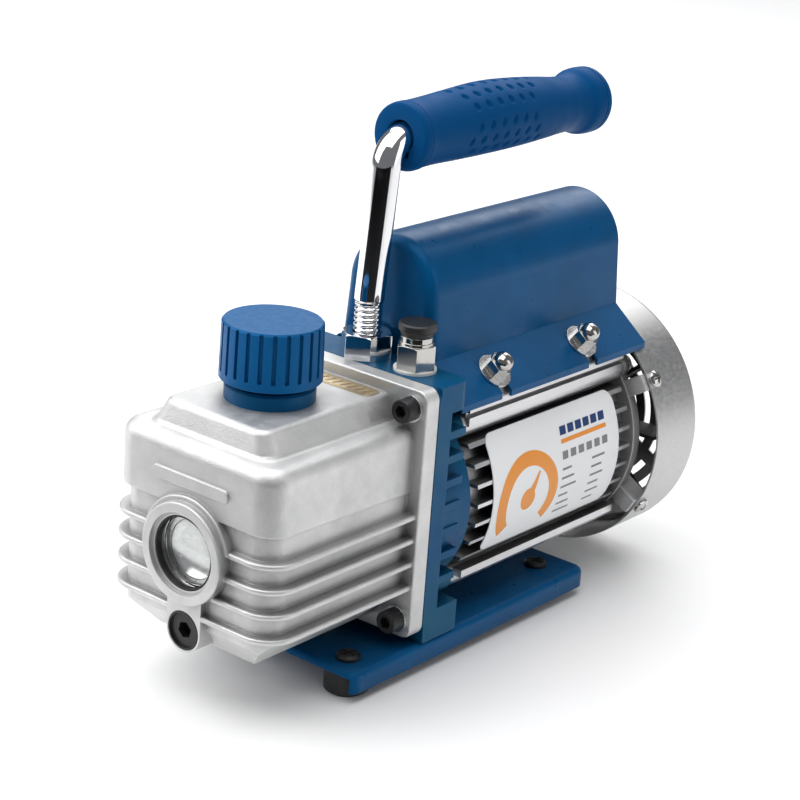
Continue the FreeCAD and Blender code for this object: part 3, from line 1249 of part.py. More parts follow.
def write_bracket():
    save("pump_bracket", pump_bracket())
    save("shaft_seal", shaft_seal())
    save("handle_rod", handle_rod())
    save("handle_nut", handle_nut())
    save("handle_grip", handle_grip())
    save("intake_washer", intake_washer())
    save("intake_fitting", intake_fitting())
    save("inlet_filter", inlet_filter())
    save("intake_dust_cap", intake_dust_cap())


def write_cover():
    save("capacitor_cover", capacitor_cover())
    save("cover_end_plate", cover_end_plate())
    save("cover_studs", *hardware_set("stud"))
    save("cover_washers", *hardware_set("washer"))
    save("acorn_nuts", *hardware_set("nut"))
    save("power_inlet", power_inlet())
    save("inlet_pins", *[inlet_pin(x, z) for x, z in PIN_SPOTS])
    save("switch_frame", switch_frame())
    save("switch_rocker", switch_rocker())
    save("run_capacitor", run_capacitor())
    save("capacitor_clamp", capacitor_clamp())


def write_motor():
    save("motor_housing", motor_housing())
    save("rating_label", rating_label())
    save("stator_core", stator_core())
    save("stator_windings", stator_windings())
    save("motor_rotor", motor_rotor())
    save("motor_shaft", motor_shaft())
    save("ball_bearings", ball_bearing(FRONT_BEARING), ball_bearing(REAR_BEARING))
    save("rear_end_shield", rear_end_shield())
    save("tie_bolts", *[tie_bolt(dx, dz) for dx, dz in bolt_spots()])
    save("cooling_fan", cooling_fan())
    save("fan_cover", fan_cover())
    save("fan_cover_screws", *[fan_cover_screw(angle) for angle in FAN_SCREW_ANGLES])


def write_pump():
    save("pump_cylinder", pump_cylinder())
    save("pump_front_cover", pump_front_cover())
    save("pump_rear_cover", pump_rear_cover())
    save("pump_rotor", pump_rotor())
    save("rotor_vane_a", rotor_vane(1))
    save("rotor_vane_b", rotor_vane(-1))
    save("vane_springs", *[vane_spring(y) for y in SPRING_YS])
    save("pump_screws", *[pump_screw(x, z) for x, z in PUMP_SCREW_SPOTS])
    save("exhaust_reed", exhaust_reed())
    save("reed_stop", reed_stop())
    front_screw = reed_screw(REED_SCREW_YS[0], PUMP_TOP + 2.3)
    rear_screw = reed_screw(REED_SCREW_YS[1], PUMP_TOP + 1.5)
    save("reed_screws", front_screw, rear_screw)
    save("shaft_coupling", shaft_coupling())


os.makedirs("parts", exist_ok=True)
write_base()
write_tank()
write_bracket()
write_cover()
write_motor()
write_pump()
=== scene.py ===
"""Looks for the rotary vane vacuum pump: materials for the CAD nodes, and mesh pieces with finer shapes.

The scene is in metres, in the CAD frame: +X right, +Y towards the fan, +Z up.
The lengths of the pieces are written in mm, as in the CAD, and add_piece turns them into metres.
"""

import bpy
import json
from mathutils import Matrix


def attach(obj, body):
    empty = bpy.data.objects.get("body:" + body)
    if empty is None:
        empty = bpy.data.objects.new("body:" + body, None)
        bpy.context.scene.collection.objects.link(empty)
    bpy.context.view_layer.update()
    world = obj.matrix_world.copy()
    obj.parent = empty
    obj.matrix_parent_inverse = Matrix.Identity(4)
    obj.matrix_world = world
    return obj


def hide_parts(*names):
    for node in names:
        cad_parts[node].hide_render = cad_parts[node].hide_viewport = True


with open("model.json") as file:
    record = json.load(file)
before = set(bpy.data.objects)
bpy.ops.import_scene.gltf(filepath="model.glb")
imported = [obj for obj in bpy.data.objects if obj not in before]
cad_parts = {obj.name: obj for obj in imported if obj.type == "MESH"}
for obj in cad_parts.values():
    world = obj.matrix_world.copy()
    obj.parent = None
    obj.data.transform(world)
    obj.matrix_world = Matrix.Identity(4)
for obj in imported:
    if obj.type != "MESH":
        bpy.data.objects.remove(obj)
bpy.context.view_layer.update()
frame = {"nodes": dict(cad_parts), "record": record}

import json
import math

import bpy
import numpy as np
from mathutils import Matrix, Vector

MM = 0.001
NODES = frame["nodes"]
SHAFT_Z = 68.0
HANDLE_Y = -35.9
ROD_R = 6.4
ROD_LEAN = 6.2
ROD_LOW = 112.5
ROD_KNEE = 156.0
GRIP_Z = 222.7
GRIP_FRONT = -23.2
GRIP_REAR = 112.4
SIGHT_Z = 68.6
STICKER_TOP = 124.8
LABEL_R = 50.5


# ---------------------------------------------------------------- node graphs
SHINE_TINT = (0.16, 0.48, 0.95)
FULL_SHINE = 0.5          # the shader's own specular level
NOISE_ROUGHNESS = 0.55


def is_socket(value):
    return hasattr(value, "is_linked")


class Graph:
    """A material under construction, with short calls for the nodes it needs."""

    def __init__(self, name):
        self.material = bpy.data.materials.new(name)
        self.material.use_nodes = True
        self.tree = self.material.node_tree
        self.shader = self.tree.nodes["Principled BSDF"]
        self.point = self.add("ShaderNodeTexCoord").outputs["Object"]

    def add(self, kind, **settings):
        node = self.tree.nodes.new(kind)
        for key, value in settings.items():
            setattr(node, key, value)
        return node

    def link(self, source, target):
        self.tree.links.new(source, target)

    def feed(self, socket, value):
        if is_socket(value):
            self.link(value, socket)
        else:
            socket.default_value = value

    def noise(self, scale, detail=4.0, stretch=(1, 1, 1), distortion=0.0):
        """Noise in cells of 1/scale metres, with its coordinates multiplied by stretch."""
        mapping = self.add("ShaderNodeMapping")
        mapping.inputs["Scale"].default_value = stretch
        self.link(self.point, mapping.inputs["Vector"])
        node = self.add("ShaderNodeTexNoise")
        node.inputs["Scale"].default_value = scale
        node.inputs["Detail"].default_value = detail
        node.inputs["Roughness"].default_value = NOISE_ROUGHNESS
        node.inputs["Distortion"].default_value = distortion
        self.link(mapping.outputs["Vector"], node.inputs["Vector"])
        return node.outputs["Fac"]

    def spots(self, scale):
        """Round cells of 1/scale metres, 0 in the middle of each."""
        node = self.add("ShaderNodeTexVoronoi")
        node.inputs["Scale"].default_value = scale
        self.link(self.point, node.inputs["Vector"])
        return node.outputs["Distance"]

    def math(self, operation, a, b):
        node = self.add("ShaderNodeMath", operation=operation)
        self.feed(node.inputs[0], a)
        self.feed(node.inputs[1], b)
        return node.outputs[0]

    def remap(self, value, low, high, out_low=0.0, out_high=1.0):
        node = self.add("ShaderNodeMapRange")
        self.feed(node.inputs["Value"], value)
        for key, number in (("From Min", low), ("From Max", high), ("To Min", out_low), ("To Max", out_high)):
            node.inputs[key].default_value = number
        return node.outputs["Result"]

    def mix(self, factor, a, b):
        node = self.add("ShaderNodeMix", data_type="RGBA")
        self.feed(node.inputs["Factor"], factor)
        for socket, value in ((node.inputs[6], a), (node.inputs[7], b)):
            self.feed(socket, value if is_socket(value) else (*value, 1.0))
        return node.outputs[2]

    def edges(self, width):
        """Mask for painted edge highlights: 1 close to an edge, within this width, and 0 on flat places."""
        bevel = self.add("ShaderNodeBevel", samples=4)
        bevel.inputs["Radius"].default_value = width
        normal = self.add("ShaderNodeNewGeometry").outputs["Normal"]
        dot = self.add("ShaderNodeVectorMath", operation="DOT_PRODUCT")
        self.link(bevel.outputs[0], dot.inputs[0])
        self.link(normal, dot.inputs[1])
        return self.remap(dot.outputs["Value"], 0.97, 0.75)

    def hollow_shade(self, reach):
        """Mask for painted shade: 1 deep in grooves and under ledges, 0 where nothing stands within this
        reach.
        """
        node = self.add("ShaderNodeAmbientOcclusion", samples=8)
        node.inputs["Distance"].default_value = reach
        return self.remap(node.outputs["AO"], 0.85, 0.30)

    def bump(self, height, distance, strength=1.0, round_edges=0.0):
        """Bump on the surface, over edges rounded to this radius."""
        node = self.add("ShaderNodeBump")
        node.inputs["Strength"].default_value = strength
        node.inputs["Distance"].default_value = distance
        self.feed(node.inputs["Height"], height)
        if round_edges:
            bevel = self.add("ShaderNodeBevel", samples=6)
            bevel.inputs["Radius"].default_value = round_edges
            self.link(bevel.outputs[0], node.inputs["Normal"])
        self.link(node.outputs[0], self.shader.inputs["Normal"])

    def set(self, **values):
        """Feed the shader's inputs, named with _ in place of spaces."""
        for key, value in values.items():
            self.feed(self.shader.inputs[key.replace("_", " ")], value)

    def colour(self, value):
        self.feed(self.shader.inputs["Base Color"], value)

    def soften_shine(self, level):
        """A weaker shine that leans to the colour of the blue pigments."""
        self.set(Specular_IOR_Level=level, Specular_Tint=(*SHINE_TINT, 1.0))


# ---------------------------------------------------------------- materials
HOLLOW_REACH = 14.0 * MM
GROOVE_REACH = 8.0 * MM


def paint(name, base, deep, rough=0.32):
    """Sprayed paint on metal: orange peel, slow shifts of tone, a painted highlight along the edges and
    painted shade in grooves and under ledges.
    """
    g = Graph(name)
    tone = g.mix(g.remap(g.noise(22.0, 3.0), 0.35, 0.65), deep, base)
    # Painted highlight: a lighter blue along the edges.
    light = [min(1.0, c * 1.9 + 0.02) for c in base]
    tone = g.mix(g.math("MULTIPLY", g.edges(0.4 * MM), 0.35), tone, light)
    # Painted shade: a much darker blue in grooves and under ledges.
    tone = g.mix(g.math("MULTIPLY", g.hollow_shade(HOLLOW_REACH), 0.6), tone, [c * 0.35 for c in deep])
    g.colour(tone)
    g.set(Roughness=g.remap(g.noise(140.0, 3.0), 0.3, 0.7, rough - 0.05, rough + 0.08))
    g.soften_shine(0.35)
    peel = g.math("ADD", g.noise(420.0, 2.0), g.math("MULTIPLY", g.noise(1500.0, 1.0), 0.3))
    g.bump(peel, 0.05 * MM, 0.5, 0.5 * MM)
    return g.material


def casting(name, base, dark, rough=0.48):
    """Blasted light-alloy casting: fine grain, faint mottling, painted shade in grooves and under ledges, and
    a painted highlight along the edges.
    """
    g = Graph(name)
    mottle = g.noise(60.0, 5.0)
    grain = g.noise(2600.0, 2.0)
    tone = g.mix(g.remap(mottle, 0.3, 0.7), dark, base)
    tone = g.mix(g.remap(grain, 0.35, 0.7, 0.0, 0.35), tone, [c * 0.72 for c in base])
    # Painted highlight: a lighter tone along the edges.
    tone = g.mix(g.math("MULTIPLY", g.edges(0.6 * MM), 0.6), tone, [min(1.0, c * 1.2) for c in base])
    # Painted shade: a much darker tone in grooves and under ledges.
    tone = g.mix(g.math("MULTIPLY", g.hollow_shade(HOLLOW_REACH), 0.7), tone, [c * 0.30 for c in base])
    g.colour(tone)
    g.set(Metallic=0.82, Roughness=g.remap(g.noise(180.0, 4.0), 0.3, 0.7, rough - 0.06, rough + 0.1))
    height = g.math("ADD", g.noise(1500.0, 3.0), g.math("MULTIPLY", g.noise(350.0, 2.0), 0.6))
    g.bump(height, 0.17 * MM, 0.8, 0.7 * MM)
    return g.material


def metal(name, base, rough, grain=900.0, stretch=(1, 1, 1), depth=0.01, edge=0.25, metallic=1.0, groove_shade=0.0):
    """Plain or brushed metal: streaks along the axis that stretch leaves small, a painted highlight along the
    edges, and painted shade in its grooves when asked for.

    The bump's depth and the rounding of edges are in mm.
    """
    g = Graph(name)
    streak = g.noise(grain, 3.0, stretch=stretch)
    drift = g.noise(45.0, 3.0)
    tone = g.mix(g.remap(streak, 0.3, 0.7), [c * 0.86 for c in base], base)
    tone = g.mix(g.remap(drift, 0.35, 0.75, 0.0, 0.3), tone, [c * 0.80 for c in base])
    # Painted highlight: a lighter tone along the edges.
    tone = g.mix(g.math("MULTIPLY", g.edges(0.3 * MM), 0.4), tone, [min(1.0, c * 1.15) for c in base])
    # Painted shade in grooves and under ledges, as strong as asked for.
    if groove_shade:
        tone = g.mix(g.math("MULTIPLY", g.hollow_shade(GROOVE_REACH), groove_shade), tone, [c * 0.25 for c in base])
    g.colour(tone)
    low = max(0.02, rough - 0.06)
    g.set(Metallic=metallic, Roughness=g.remap(streak, 0.25, 0.75, low, rough + 0.08))
    g.bump(streak, depth * MM, 0.6, edge * MM)
    return g.material


def chrome(name, base, rough=0.05):
    """Bright plate: nearly a mirror, with faint waviness and a few dull smears."""
    g = Graph(name)
    smear = g.noise(70.0, 5.0, distortion=0.6)
    tone = g.mix(g.remap(smear, 0.5, 0.8), base, [c * 0.88 for c in base])
    g.colour(tone)
    g.set(Metallic=1.0, Roughness=g.remap(smear, 0.45, 0.8, rough, rough + 0.10))
    g.bump(g.noise(120.0, 2.0), 0.01 * MM, 0.35, 0.35 * MM)
    return g.material


def printed(name, base):
    """Smooth printed foil: faint shifts of tone and a fine satin grain."""
    g = Graph(name)
    g.colour(g.mix(g.remap(g.noise(30.0, 3.0), 0.3, 0.7), [c * 0.95 for c in base], base))
    g.set(Roughness=g.remap(g.noise(200.0, 3.0), 0.3, 0.7, 0.34, 0.44))
    g.bump(g.noise(1400.0, 2.0), 0.006 * MM, 0.4)
    return g.material


def plastic(name, base, rough=0.42, grain=1400.0, depth=0.03, shine=FULL_SHINE):
    """Moulded plastic: fine texture, depth mm deep, slow shifts of tone and a slight painted highlight along
    the edges.
    """
    g = Graph(name)
    drift = g.noise(35.0, 3.0)
    tone = g.mix(g.remap(drift, 0.3, 0.7), [c * 0.88 for c in base], base)
    # Painted highlight: a slightly lighter tone along the edges.
    edge_highlight = [min(1.0, c * 1.25 + 0.015) for c in base]
    tone = g.mix(g.math("MULTIPLY", g.edges(0.4 * MM), 0.5), tone, edge_highlight)
    g.colour(tone)
    g.set(Roughness=g.remap(g.noise(260.0, 3.0), 0.3, 0.7, rough - 0.06, rough + 0.08))
    if shine < FULL_SHINE:
        g.soften_shine(shine)
    g.bump(g.noise(grain, 2.0), depth * MM, 0.5, 0.35 * MM)
    return g.material


def rubber(name, base, rough=0.62, shine=FULL_SHINE, dusting=0.5):
    """Soft rubber: dull, a little dusty in patches, with fine pores."""
    g = Graph(name)
    dust = g.noise(90.0, 6.0)
    dusty = [c * 0.8 + 0.05 for c in base]
    tone = g.mix(g.remap(dust, 0.48, 0.75, 0.0, dusting), base, dusty)
    g.colour(tone)
    g.set(Roughness=g.remap(dust, 0.3, 0.7, rough - 0.08, rough + 0.1))
    if shine < FULL_SHINE:
        g.soften_shine(shine)
    pores = g.math("ADD", g.noise(1800.0, 2.0), g.math("MULTIPLY", g.spots(900.0), 0.4))
    g.bump(pores, 0.03 * MM, 0.6, 0.4 * MM)
    return g.material


def clear_glass(name):
    """A thick polished lens with the faintest haze."""
    g = Graph(name)
    haze = g.noise(60.0, 4.0)
    g.colour(g.mix(g.remap(haze, 0.4, 0.8), (0.97, 0.98, 0.98), (0.90, 0.93, 0.93)))
    g.set(Roughness=g.remap(haze, 0.4, 0.9, 0.0, 0.03))
    g.set(Transmission_Weight=1.0, IOR=1.5)
    g.bump(g.noise(35.0, 2.0), 0.01 * MM, 0.2)
    return g.material


BLUE = (0.001, 0.074, 0.205)
BLUE_DEEP = (0.001, 0.058, 0.160)
BLUE_CAST = (0.004, 0.084, 0.155)


def make_materials():
    """One material for each material slot of the CAD nodes."""
    return {
        "blue_paint": paint("blue_paint", BLUE, BLUE_DEEP),
        "blue_cast": paint("blue_cast", BLUE_CAST, BLUE_DEEP, 0.38),
        "cast_metal": casting("cast_metal", (0.74, 0.74, 0.73), (0.62, 0.62, 0.62)),
        # The extruded housing gets painted shade in the grooves between its fins.
        "extruded_metal": metal("extruded_metal", (0.72, 0.72, 0.73), 0.34, 1400.0, (1, 0.03, 1), 0.02,
                                groove_shade=0.7),
        "satin_metal": metal("satin_metal", (0.60, 0.60, 0.595), 0.42, 900.0, (1, 0.4, 1), 0.006, 0.5),
        "chrome": chrome("chrome", (0.86, 0.86, 0.87)),
        "nickel": chrome("nickel", (0.52, 0.51, 0.49), 0.10),
        "zinc_steel": metal("zinc_steel", (0.78, 0.78, 0.78), 0.22, 500.0, depth=0.004),
        "black_steel": metal("black_steel", (0.030, 0.030, 0.032), 0.38, 900.0, metallic=0.5),
        "black_plastic": plastic("black_plastic", (0.016, 0.016, 0.017), 0.40),
        "black_rubber": rubber("black_rubber", (0.016, 0.016, 0.016)),
        "grip_rubber": rubber("grip_rubber", (0.001, 0.056, 0.178), 0.56, 0.10, 0.06),
        "cap_plastic": plastic("cap_plastic", (0.002, 0.088, 0.250), 0.44, 1800.0, 0.05, shine=0.4),
        "neck_plastic": plastic("neck_plastic", (0.002, 0.070, 0.180), 0.40, shine=0.4),
        "white_nylon": plastic("white_nylon", (0.80, 0.79, 0.76), 0.45),
        "clear_glass": clear_glass("clear_glass"),
        "foil": metal("foil", (0.78, 0.64, 0.40), 0.32, 700.0),
        "label_face": printed("label_face", (0.86, 0.87, 0.88)),
        "gasket": rubber("gasket", (0.03, 0.03, 0.03)),
        "machined_steel": metal("machined_steel", (0.60, 0.60, 0.61), 0.24, 1600.0, (1, 30, 1), 0.01),
        "cast_iron": casting("cast_iron", (0.20, 0.20, 0.21), (0.13, 0.13, 0.14), 0.5),
        "core_steel": metal("core_steel", (0.30, 0.30, 0.31), 0.42, 1500.0, (0.1, 1, 0.1), 0.05),
        "copper": metal("copper", (0.55, 0.24, 0.10), 0.35, 900.0, (0.1, 1, 1), 0.08),
        "brass": metal("brass", (0.72, 0.52, 0.22), 0.28, 900.0),
        "vane": plastic("vane", (0.20, 0.13, 0.08), 0.55),
        "capacitor": metal("capacitor", (0.72, 0.72, 0.73), 0.30, 900.0, (1, 0.05, 1)),
    }


def dress_nodes(materials):
    """Give every CAD node the material of its slot."""
    for entry in frame["record"]["subparts"]:
        slots = NODES[entry["node"]].data.materials
        slots.clear()
        slots.append(materials[entry["material_slot"]])


# ---------------------------------------------------------------- mesh pieces
SHARP = math.radians(38.0)


def add_piece(name, points, faces, material, replaces=(), body="frame"):
    """A smooth mesh piece from points in mm, riding on a body and dressed in one material."""
    mesh = bpy.data.meshes.new(name)
    mesh.from_pydata([[c * MM for c in point] for point in points], [], faces)
    mesh.materials.append(material)
    mesh.shade_smooth()
    mesh.set_sharp_from_angle(angle=SHARP)
    piece = bpy.data.objects.new(name, mesh)
    bpy.context.scene.collection.objects.link(piece)
    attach(piece, body)
    if replaces:
        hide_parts(*replaces)
    return piece


def ring_faces(rings, around, close=True):
    """Quads between rings of points, with a face over each end."""
    faces = []
    for i in range(rings - 1):
        for j in range(around):
            k = (j + 1) % around
            faces.append((i * around + j, i * around + k, (i + 1) * around + k, (i + 1) * around + j))
    if close:
        faces.append(tuple(reversed(range(around))))
        faces.append(tuple(range((rings - 1) * around, rings * around)))
    return faces


def smooth_curve(xs, ys, x):
    """A curve through the points (xs, ys) without corners, read at the places x."""
    xs, ys, x = np.asarray(xs), np.asarray(ys), np.asarray(x)
    slope = np.gradient(ys, xs)
    i = np.clip(np.searchsorted(xs, x) - 1, 0, len(xs) - 2)
    span = xs[i + 1] - xs[i]
    t = np.clip((x - xs[i]) / span, 0.0, 1.0)
    start = (1 + 2 * t) * (1 - t) ** 2 * ys[i] + t * (1 - t) ** 2 * span * slope[i]
    return start + t * t * (3 - 2 * t) * ys[i + 1] + t * t * (t - 1) * span * slope[i + 1]


GRIP_AROUND = 240
GRIP_STEP = 0.45
GRIP_ROWS = [             # y, radius and rise of the centre, from behind the front edge to the rear rim
    (GRIP_FRONT + 1.2, 14.45, -0.1),
    (GRIP_FRONT + 3.2, 14.85, -0.2),
    (GRIP_FRONT + 8.0, 14.55, 0.0),
    (GRIP_FRONT + 16.0, 14.55, 0.3),
    (GRIP_FRONT + 32.0, 15.15, 0.7),
    (GRIP_FRONT + 56.0, 15.80, 1.3),
    (GRIP_FRONT + 77.0, 15.25, 1.0),
    (GRIP_FRONT + 97.0, 13.95, 0.5),
    (GRIP_FRONT + 110.0, 12.90, 0.1),
    (GRIP_REAR - 17.0, 12.80, 0.0),
    (GRIP_REAR - 14.0, 13.50, 0.0),
    (GRIP_REAR - 11.2, 14.80, 0.0),
    (GRIP_REAR - 7.5, 15.30, 0.0),
    (GRIP_REAR - 2.6, 15.25, 0.0),
]
MOUTH_R = 7.0
MOUTH_DEEP = 9.0
NOTCH_HALF = 5.0
NOTCH_LOW = 8.2
NOTCH_DEEP = 3.0
NOTCH_EDGE = 0.05
MOUTH_LIP = [             # distance behind the front edge, and how much wider the mouth is
    (0.8, 0.0), (0.2, 0.3), (0.0, 0.9),
]
FRONT_LIP = [             # distance behind the front edge, and how much slimmer the sleeve is
    (0.0, 1.5), (0.1, 0.9), (0.45, 0.35),
]
REAR_RIM = [              # distance before the rear end, and how much slimmer the sleeve is
    (1.8, 0.1), (1.0, 0.5), (0.4, 1.1), (0.1, 1.8), (0.0, 2.6), (0.0, 9.0),
]
DIMPLE_ROWS = [           # angle up from the right, y of the first dimple, how many, slant in degrees
    (92.0, 7.4, 8, 35.0),
    (62.0, 10.6, 7, 35.0),
    (38.5, 13.4, 6, 25.0),
    (5.5, 13.0, 6, -20.0),
    (-17.0, 8.2, 7, -30.0),
    (-39.0, 11.6, 7, -30.0),
]
DIMPLE_PITCH = 7.8
DIMPLE_LONG = 2.4
DIMPLE_WIDE = 1.7
DIMPLE_DEPTH = 1.0
DIMPLE_SLOPE = 0.5        # the sloping part of a dimple, as a share of its half width
BEAD_BACK = 4.2           # the scalloped groove stands this far behind the front edge
BEAD_WIDE = 0.45
BEAD_DEPTH = 0.28
BEAD_WAVE = 0.17          # the scallops make the groove this much deeper and shallower
BEAD_COUNT = 52
SEAM_BACK = 5.0           # the seam stands this far before the rear end
SEAM_WIDE = 0.35
SEAM_DEPTH = 0.5


def mouth_radius(turn):
    """Half size of the grip's mouth: a round hole with a square notch below it."""
    down = np.abs((turn + math.pi / 2 + math.pi) % (2 * math.pi) - math.pi)
    side = NOTCH_HALF / np.maximum(np.sin(down), 1e-3)
    floor = NOTCH_LOW / np.maximum(np.cos(down), 1e-3)
    notch = np.where(down < math.pi / 2, np.minimum(side, floor), 0.0)
    return np.maximum(MOUTH_R, notch)


def press_dimple(depth, y, turn, radius, y_mid, turn_mid, slant):
    """Add one slanted oval hollow to the table of depths."""
    off = (turn - turn_mid + math.pi) % (2 * math.pi) - math.pi
    across = off * radius
    along = y - y_mid
    u = along * math.cos(slant) + across * math.sin(slant)
    v = across * math.cos(slant) - along * math.sin(slant)
    d = np.sqrt((v / DIMPLE_LONG) ** 2 + (u / DIMPLE_WIDE) ** 2)
    t = np.clip((1.0 - d) / DIMPLE_SLOPE, 0.0, 1.0)
    np.maximum(depth, DIMPLE_DEPTH * t * t * (3 - 2 * t), out=depth)


def grip_skin():
    """The sleeve's y, turn, table of radii (with dimples, bead and seam) and rise of its centre."""
    rows = np.array(GRIP_ROWS)
    y = np.arange(GRIP_ROWS[0][0], GRIP_ROWS[-1][0], GRIP_STEP)
    turn = np.arange(GRIP_AROUND) * 2 * math.pi / GRIP_AROUND
    radius = smooth_curve(rows[:, 0], rows[:, 1], y)[:, None] * np.ones(GRIP_AROUND)
    rise = smooth_curve(rows[:, 0], rows[:, 2], y)
    y_table = y[:, None] * np.ones(GRIP_AROUND)
    depth = np.zeros_like(radius)
    for angle, first, count, slant in DIMPLE_ROWS:
        for side in (1, -1):
            middle = math.radians(angle if side > 0 else 180.0 - angle)
            for i in range(count):
                place = first + DIMPLE_PITCH * i
                press_dimple(depth, y_table, turn, radius, place, middle, side * math.radians(slant))
    scallops = BEAD_DEPTH + BEAD_WAVE * np.cos(BEAD_COUNT * turn)
    bead = np.exp(-((y_table - GRIP_FRONT - BEAD_BACK) / BEAD_WIDE) ** 2) * scallops
    seam = SEAM_DEPTH * np.exp(-((y_table - GRIP_REAR + SEAM_BACK) / SEAM_WIDE) ** 2)
    return y, turn, radius - depth - bead - seam, rise


def grip_stations():
    """Places along y from the bottom of the mouth, out over the front lip and back to the rear end."""
    y, turn, radius, rise = grip_skin()
    mouth = mouth_radius(turn)
    circle = np.ones(GRIP_AROUND)
    stations = [(GRIP_FRONT + MOUTH_DEEP, ROD_R * circle, 0.0),
                (GRIP_FRONT + MOUTH_DEEP, MOUTH_R * circle, 0.0),
                (GRIP_FRONT + NOTCH_DEEP + NOTCH_EDGE, MOUTH_R * circle, 0.0),
                (GRIP_FRONT + NOTCH_DEEP, mouth, 0.0)]
    stations += [(GRIP_FRONT + back, mouth + grow, 0.0) for back, grow in MOUTH_LIP]
    stations += [(GRIP_FRONT + back, radius[0] - shrink, 0.0) for back, shrink in FRONT_LIP]
    stations += list(zip(y, radius, rise))
    stations += [(GRIP_REAR - back, radius[-1] - shrink, 0.0) for back, shrink in REAR_RIM]
    return turn, stations


def handle_grip(material):
    """The rubber sleeve on the handle, with its mouth in front and a closed rear end."""
    turn, stations = grip_stations()
    points = []
    for place, ring, lift in stations:
        xs = ring * np.cos(turn)
        zs = GRIP_Z + lift + ring * np.sin(turn)
        points += [(x, place, z) for x, z in zip(xs, zs)]
    faces = ring_faces(len(stations), GRIP_AROUND)
    add_piece("grip_sleeve", points, faces, material, ["handle_grip"])


ROD_AROUND = 72
THREAD_LOW = 130.5
THREAD_HIGH = 154.5
THREAD_PITCH = 2.3
THREAD_DEPTH = 0.8
THREAD_NECK = 0.4         # the thread's crests lie this far inside the rod's surface
THREAD_FLANK = 0.36       # half the groove's width, as a share of the pitch
THREAD_FADE = 1.2         # the thread runs out over this length below THREAD_HIGH
THREAD_STEP = 0.2
KNEE_BEND = (60.0, 18)    # radius of the bend in the rod, and steps along it
TOP_BEND = (13.0, 40)
ROD_END_BACK = 8.0        # the rod ends this far inside the grip's rear end


def arc_between(before, corner, after, radius, steps):
    """Points of the arc that rounds a corner of a line in the (y, z) plane."""
    a = (before - corner).normalized()
    b = (after - corner).normalized()
    half = a.angle(b) / 2
    reach = radius / math.tan(half)
    centre = corner + (a + b).normalized() * (radius / math.sin(half))
    start = corner + a * reach - centre
    end = corner + b * reach - centre
    sweep = start.angle(end)
    points = []
    for i in range(steps + 1):
        t = i / steps
        spoke = (start * math.sin((1 - t) * sweep) + end * math.sin(t * sweep)) / math.sin(sweep)
        points.append(centre + spoke)
    return points


def rod_line():
    """The rod's centre line: upright and threaded, leaning back, then level inside the grip."""
    foot = Vector((0, HANDLE_Y, ROD_LOW))
    knee = Vector((0, HANDLE_Y, ROD_KNEE))
    bend = Vector((0, HANDLE_Y + ROD_LEAN, GRIP_Z))
    tip = Vector((0, GRIP_REAR - ROD_END_BACK, GRIP_Z))
    line = [foot]
    z = THREAD_LOW
    knee_arc = arc_between(foot, knee, bend, *KNEE_BEND)
    while z < knee_arc[0].z - THREAD_STEP / 2:
        line.append(Vector((0, HANDLE_Y, z)))
        z += THREAD_STEP
    line += knee_arc
    line += arc_between(knee, bend, tip, *TOP_BEND)
    line.append(tip)
    return line


def thread_cut(z, turn):
    """How deep the thread is cut here, fading out towards its top."""
    phase = ((z - THREAD_LOW) / THREAD_PITCH - turn / (2 * math.pi)) % 1.0
    groove = max(0.0, 1.0 - abs(phase - 0.5) / THREAD_FLANK)
    fade = min(1.0, max(0.0, (THREAD_HIGH - z) / THREAD_FADE)) if z > THREAD_LOW else 0.0
    return (THREAD_NECK + THREAD_DEPTH * groove) * fade


def handle_rod(material):
    """The bent rod, with its thread below the knee."""
    line = rod_line()
    points = []
    for i, centre in enumerate(line):
        ahead = line[min(i + 1, len(line) - 1)] - line[max(i - 1, 0)]
        up = ahead.normalized().cross(Vector((1, 0, 0)))
        for j in range(ROD_AROUND):
            turn = 2 * math.pi * j / ROD_AROUND
            r = ROD_R - thread_cut(centre.z, turn)
            spot = centre + Vector((1, 0, 0)) * (r * math.cos(turn)) + up * (r * math.sin(turn))
            points.append(tuple(spot))
    add_piece("bent_rod", points, ring_faces(len(line), ROD_AROUND), material, ["handle_rod"])


SIGHT_AROUND = 96
DISH_ROWS = [             # radius and y, from the lens's rim to the middle
    (15.4, -135.02), (12.3, -135.02), (12.3, -133.6), (11.4, -133.0),
    (8.0, -131.9), (4.0, -131.4), (0.02, -131.3),
]
SEAL_ROWS = [             # radius and y round the seal's section, from its outside rear to its inside rear
    (15.8, -139.6), (15.8, -142.1), (15.6, -142.4), (15.3, -142.5),
    (15.0, -142.3), (14.9, -141.8), (14.9, -139.6),
]


def turned_points(rows):
    """Rings of points round the sight glass's axis."""
    points = []
    for r, y in rows:
        for j in range(SIGHT_AROUND):
            turn = 2 * math.pi * j / SIGHT_AROUND
            points.append((r * math.cos(turn), y, SIGHT_Z + r * math.sin(turn)))
    return points


def sight_backing(material):
    """A bright dish behind the lens, which throws the light back through the oil level."""
    faces = ring_faces(len(DISH_ROWS), SIGHT_AROUND, False)
    add_piece("sight_dish", turned_points(DISH_ROWS), faces, material)


def sight_seal(material):
    """The rubber ring that holds the lens, with a rounded front."""
    faces = ring_faces(len(SEAL_ROWS), SIGHT_AROUND, False)
    add_piece("seal_ring", turned_points(SEAL_ROWS), faces, material, ["sight_o_ring"])


# ---------------------------------------------------------------- printed graphics
INK = 0.06                # the print stands this far over its sheet
LABEL_FRONT = -3.5        # front end of the label
PRINT_STEP = 1.2
NEEDLE_TAPER = 0.2


def label_point(u, v):
    """A place on the curved label: u from its front end, v up round the motor from its middle."""
    r = LABEL_R + INK
    turn = v / LABEL_R
    return (r * math.cos(turn), LABEL_FRONT + u, SHAFT_Z + r * math.sin(turn))


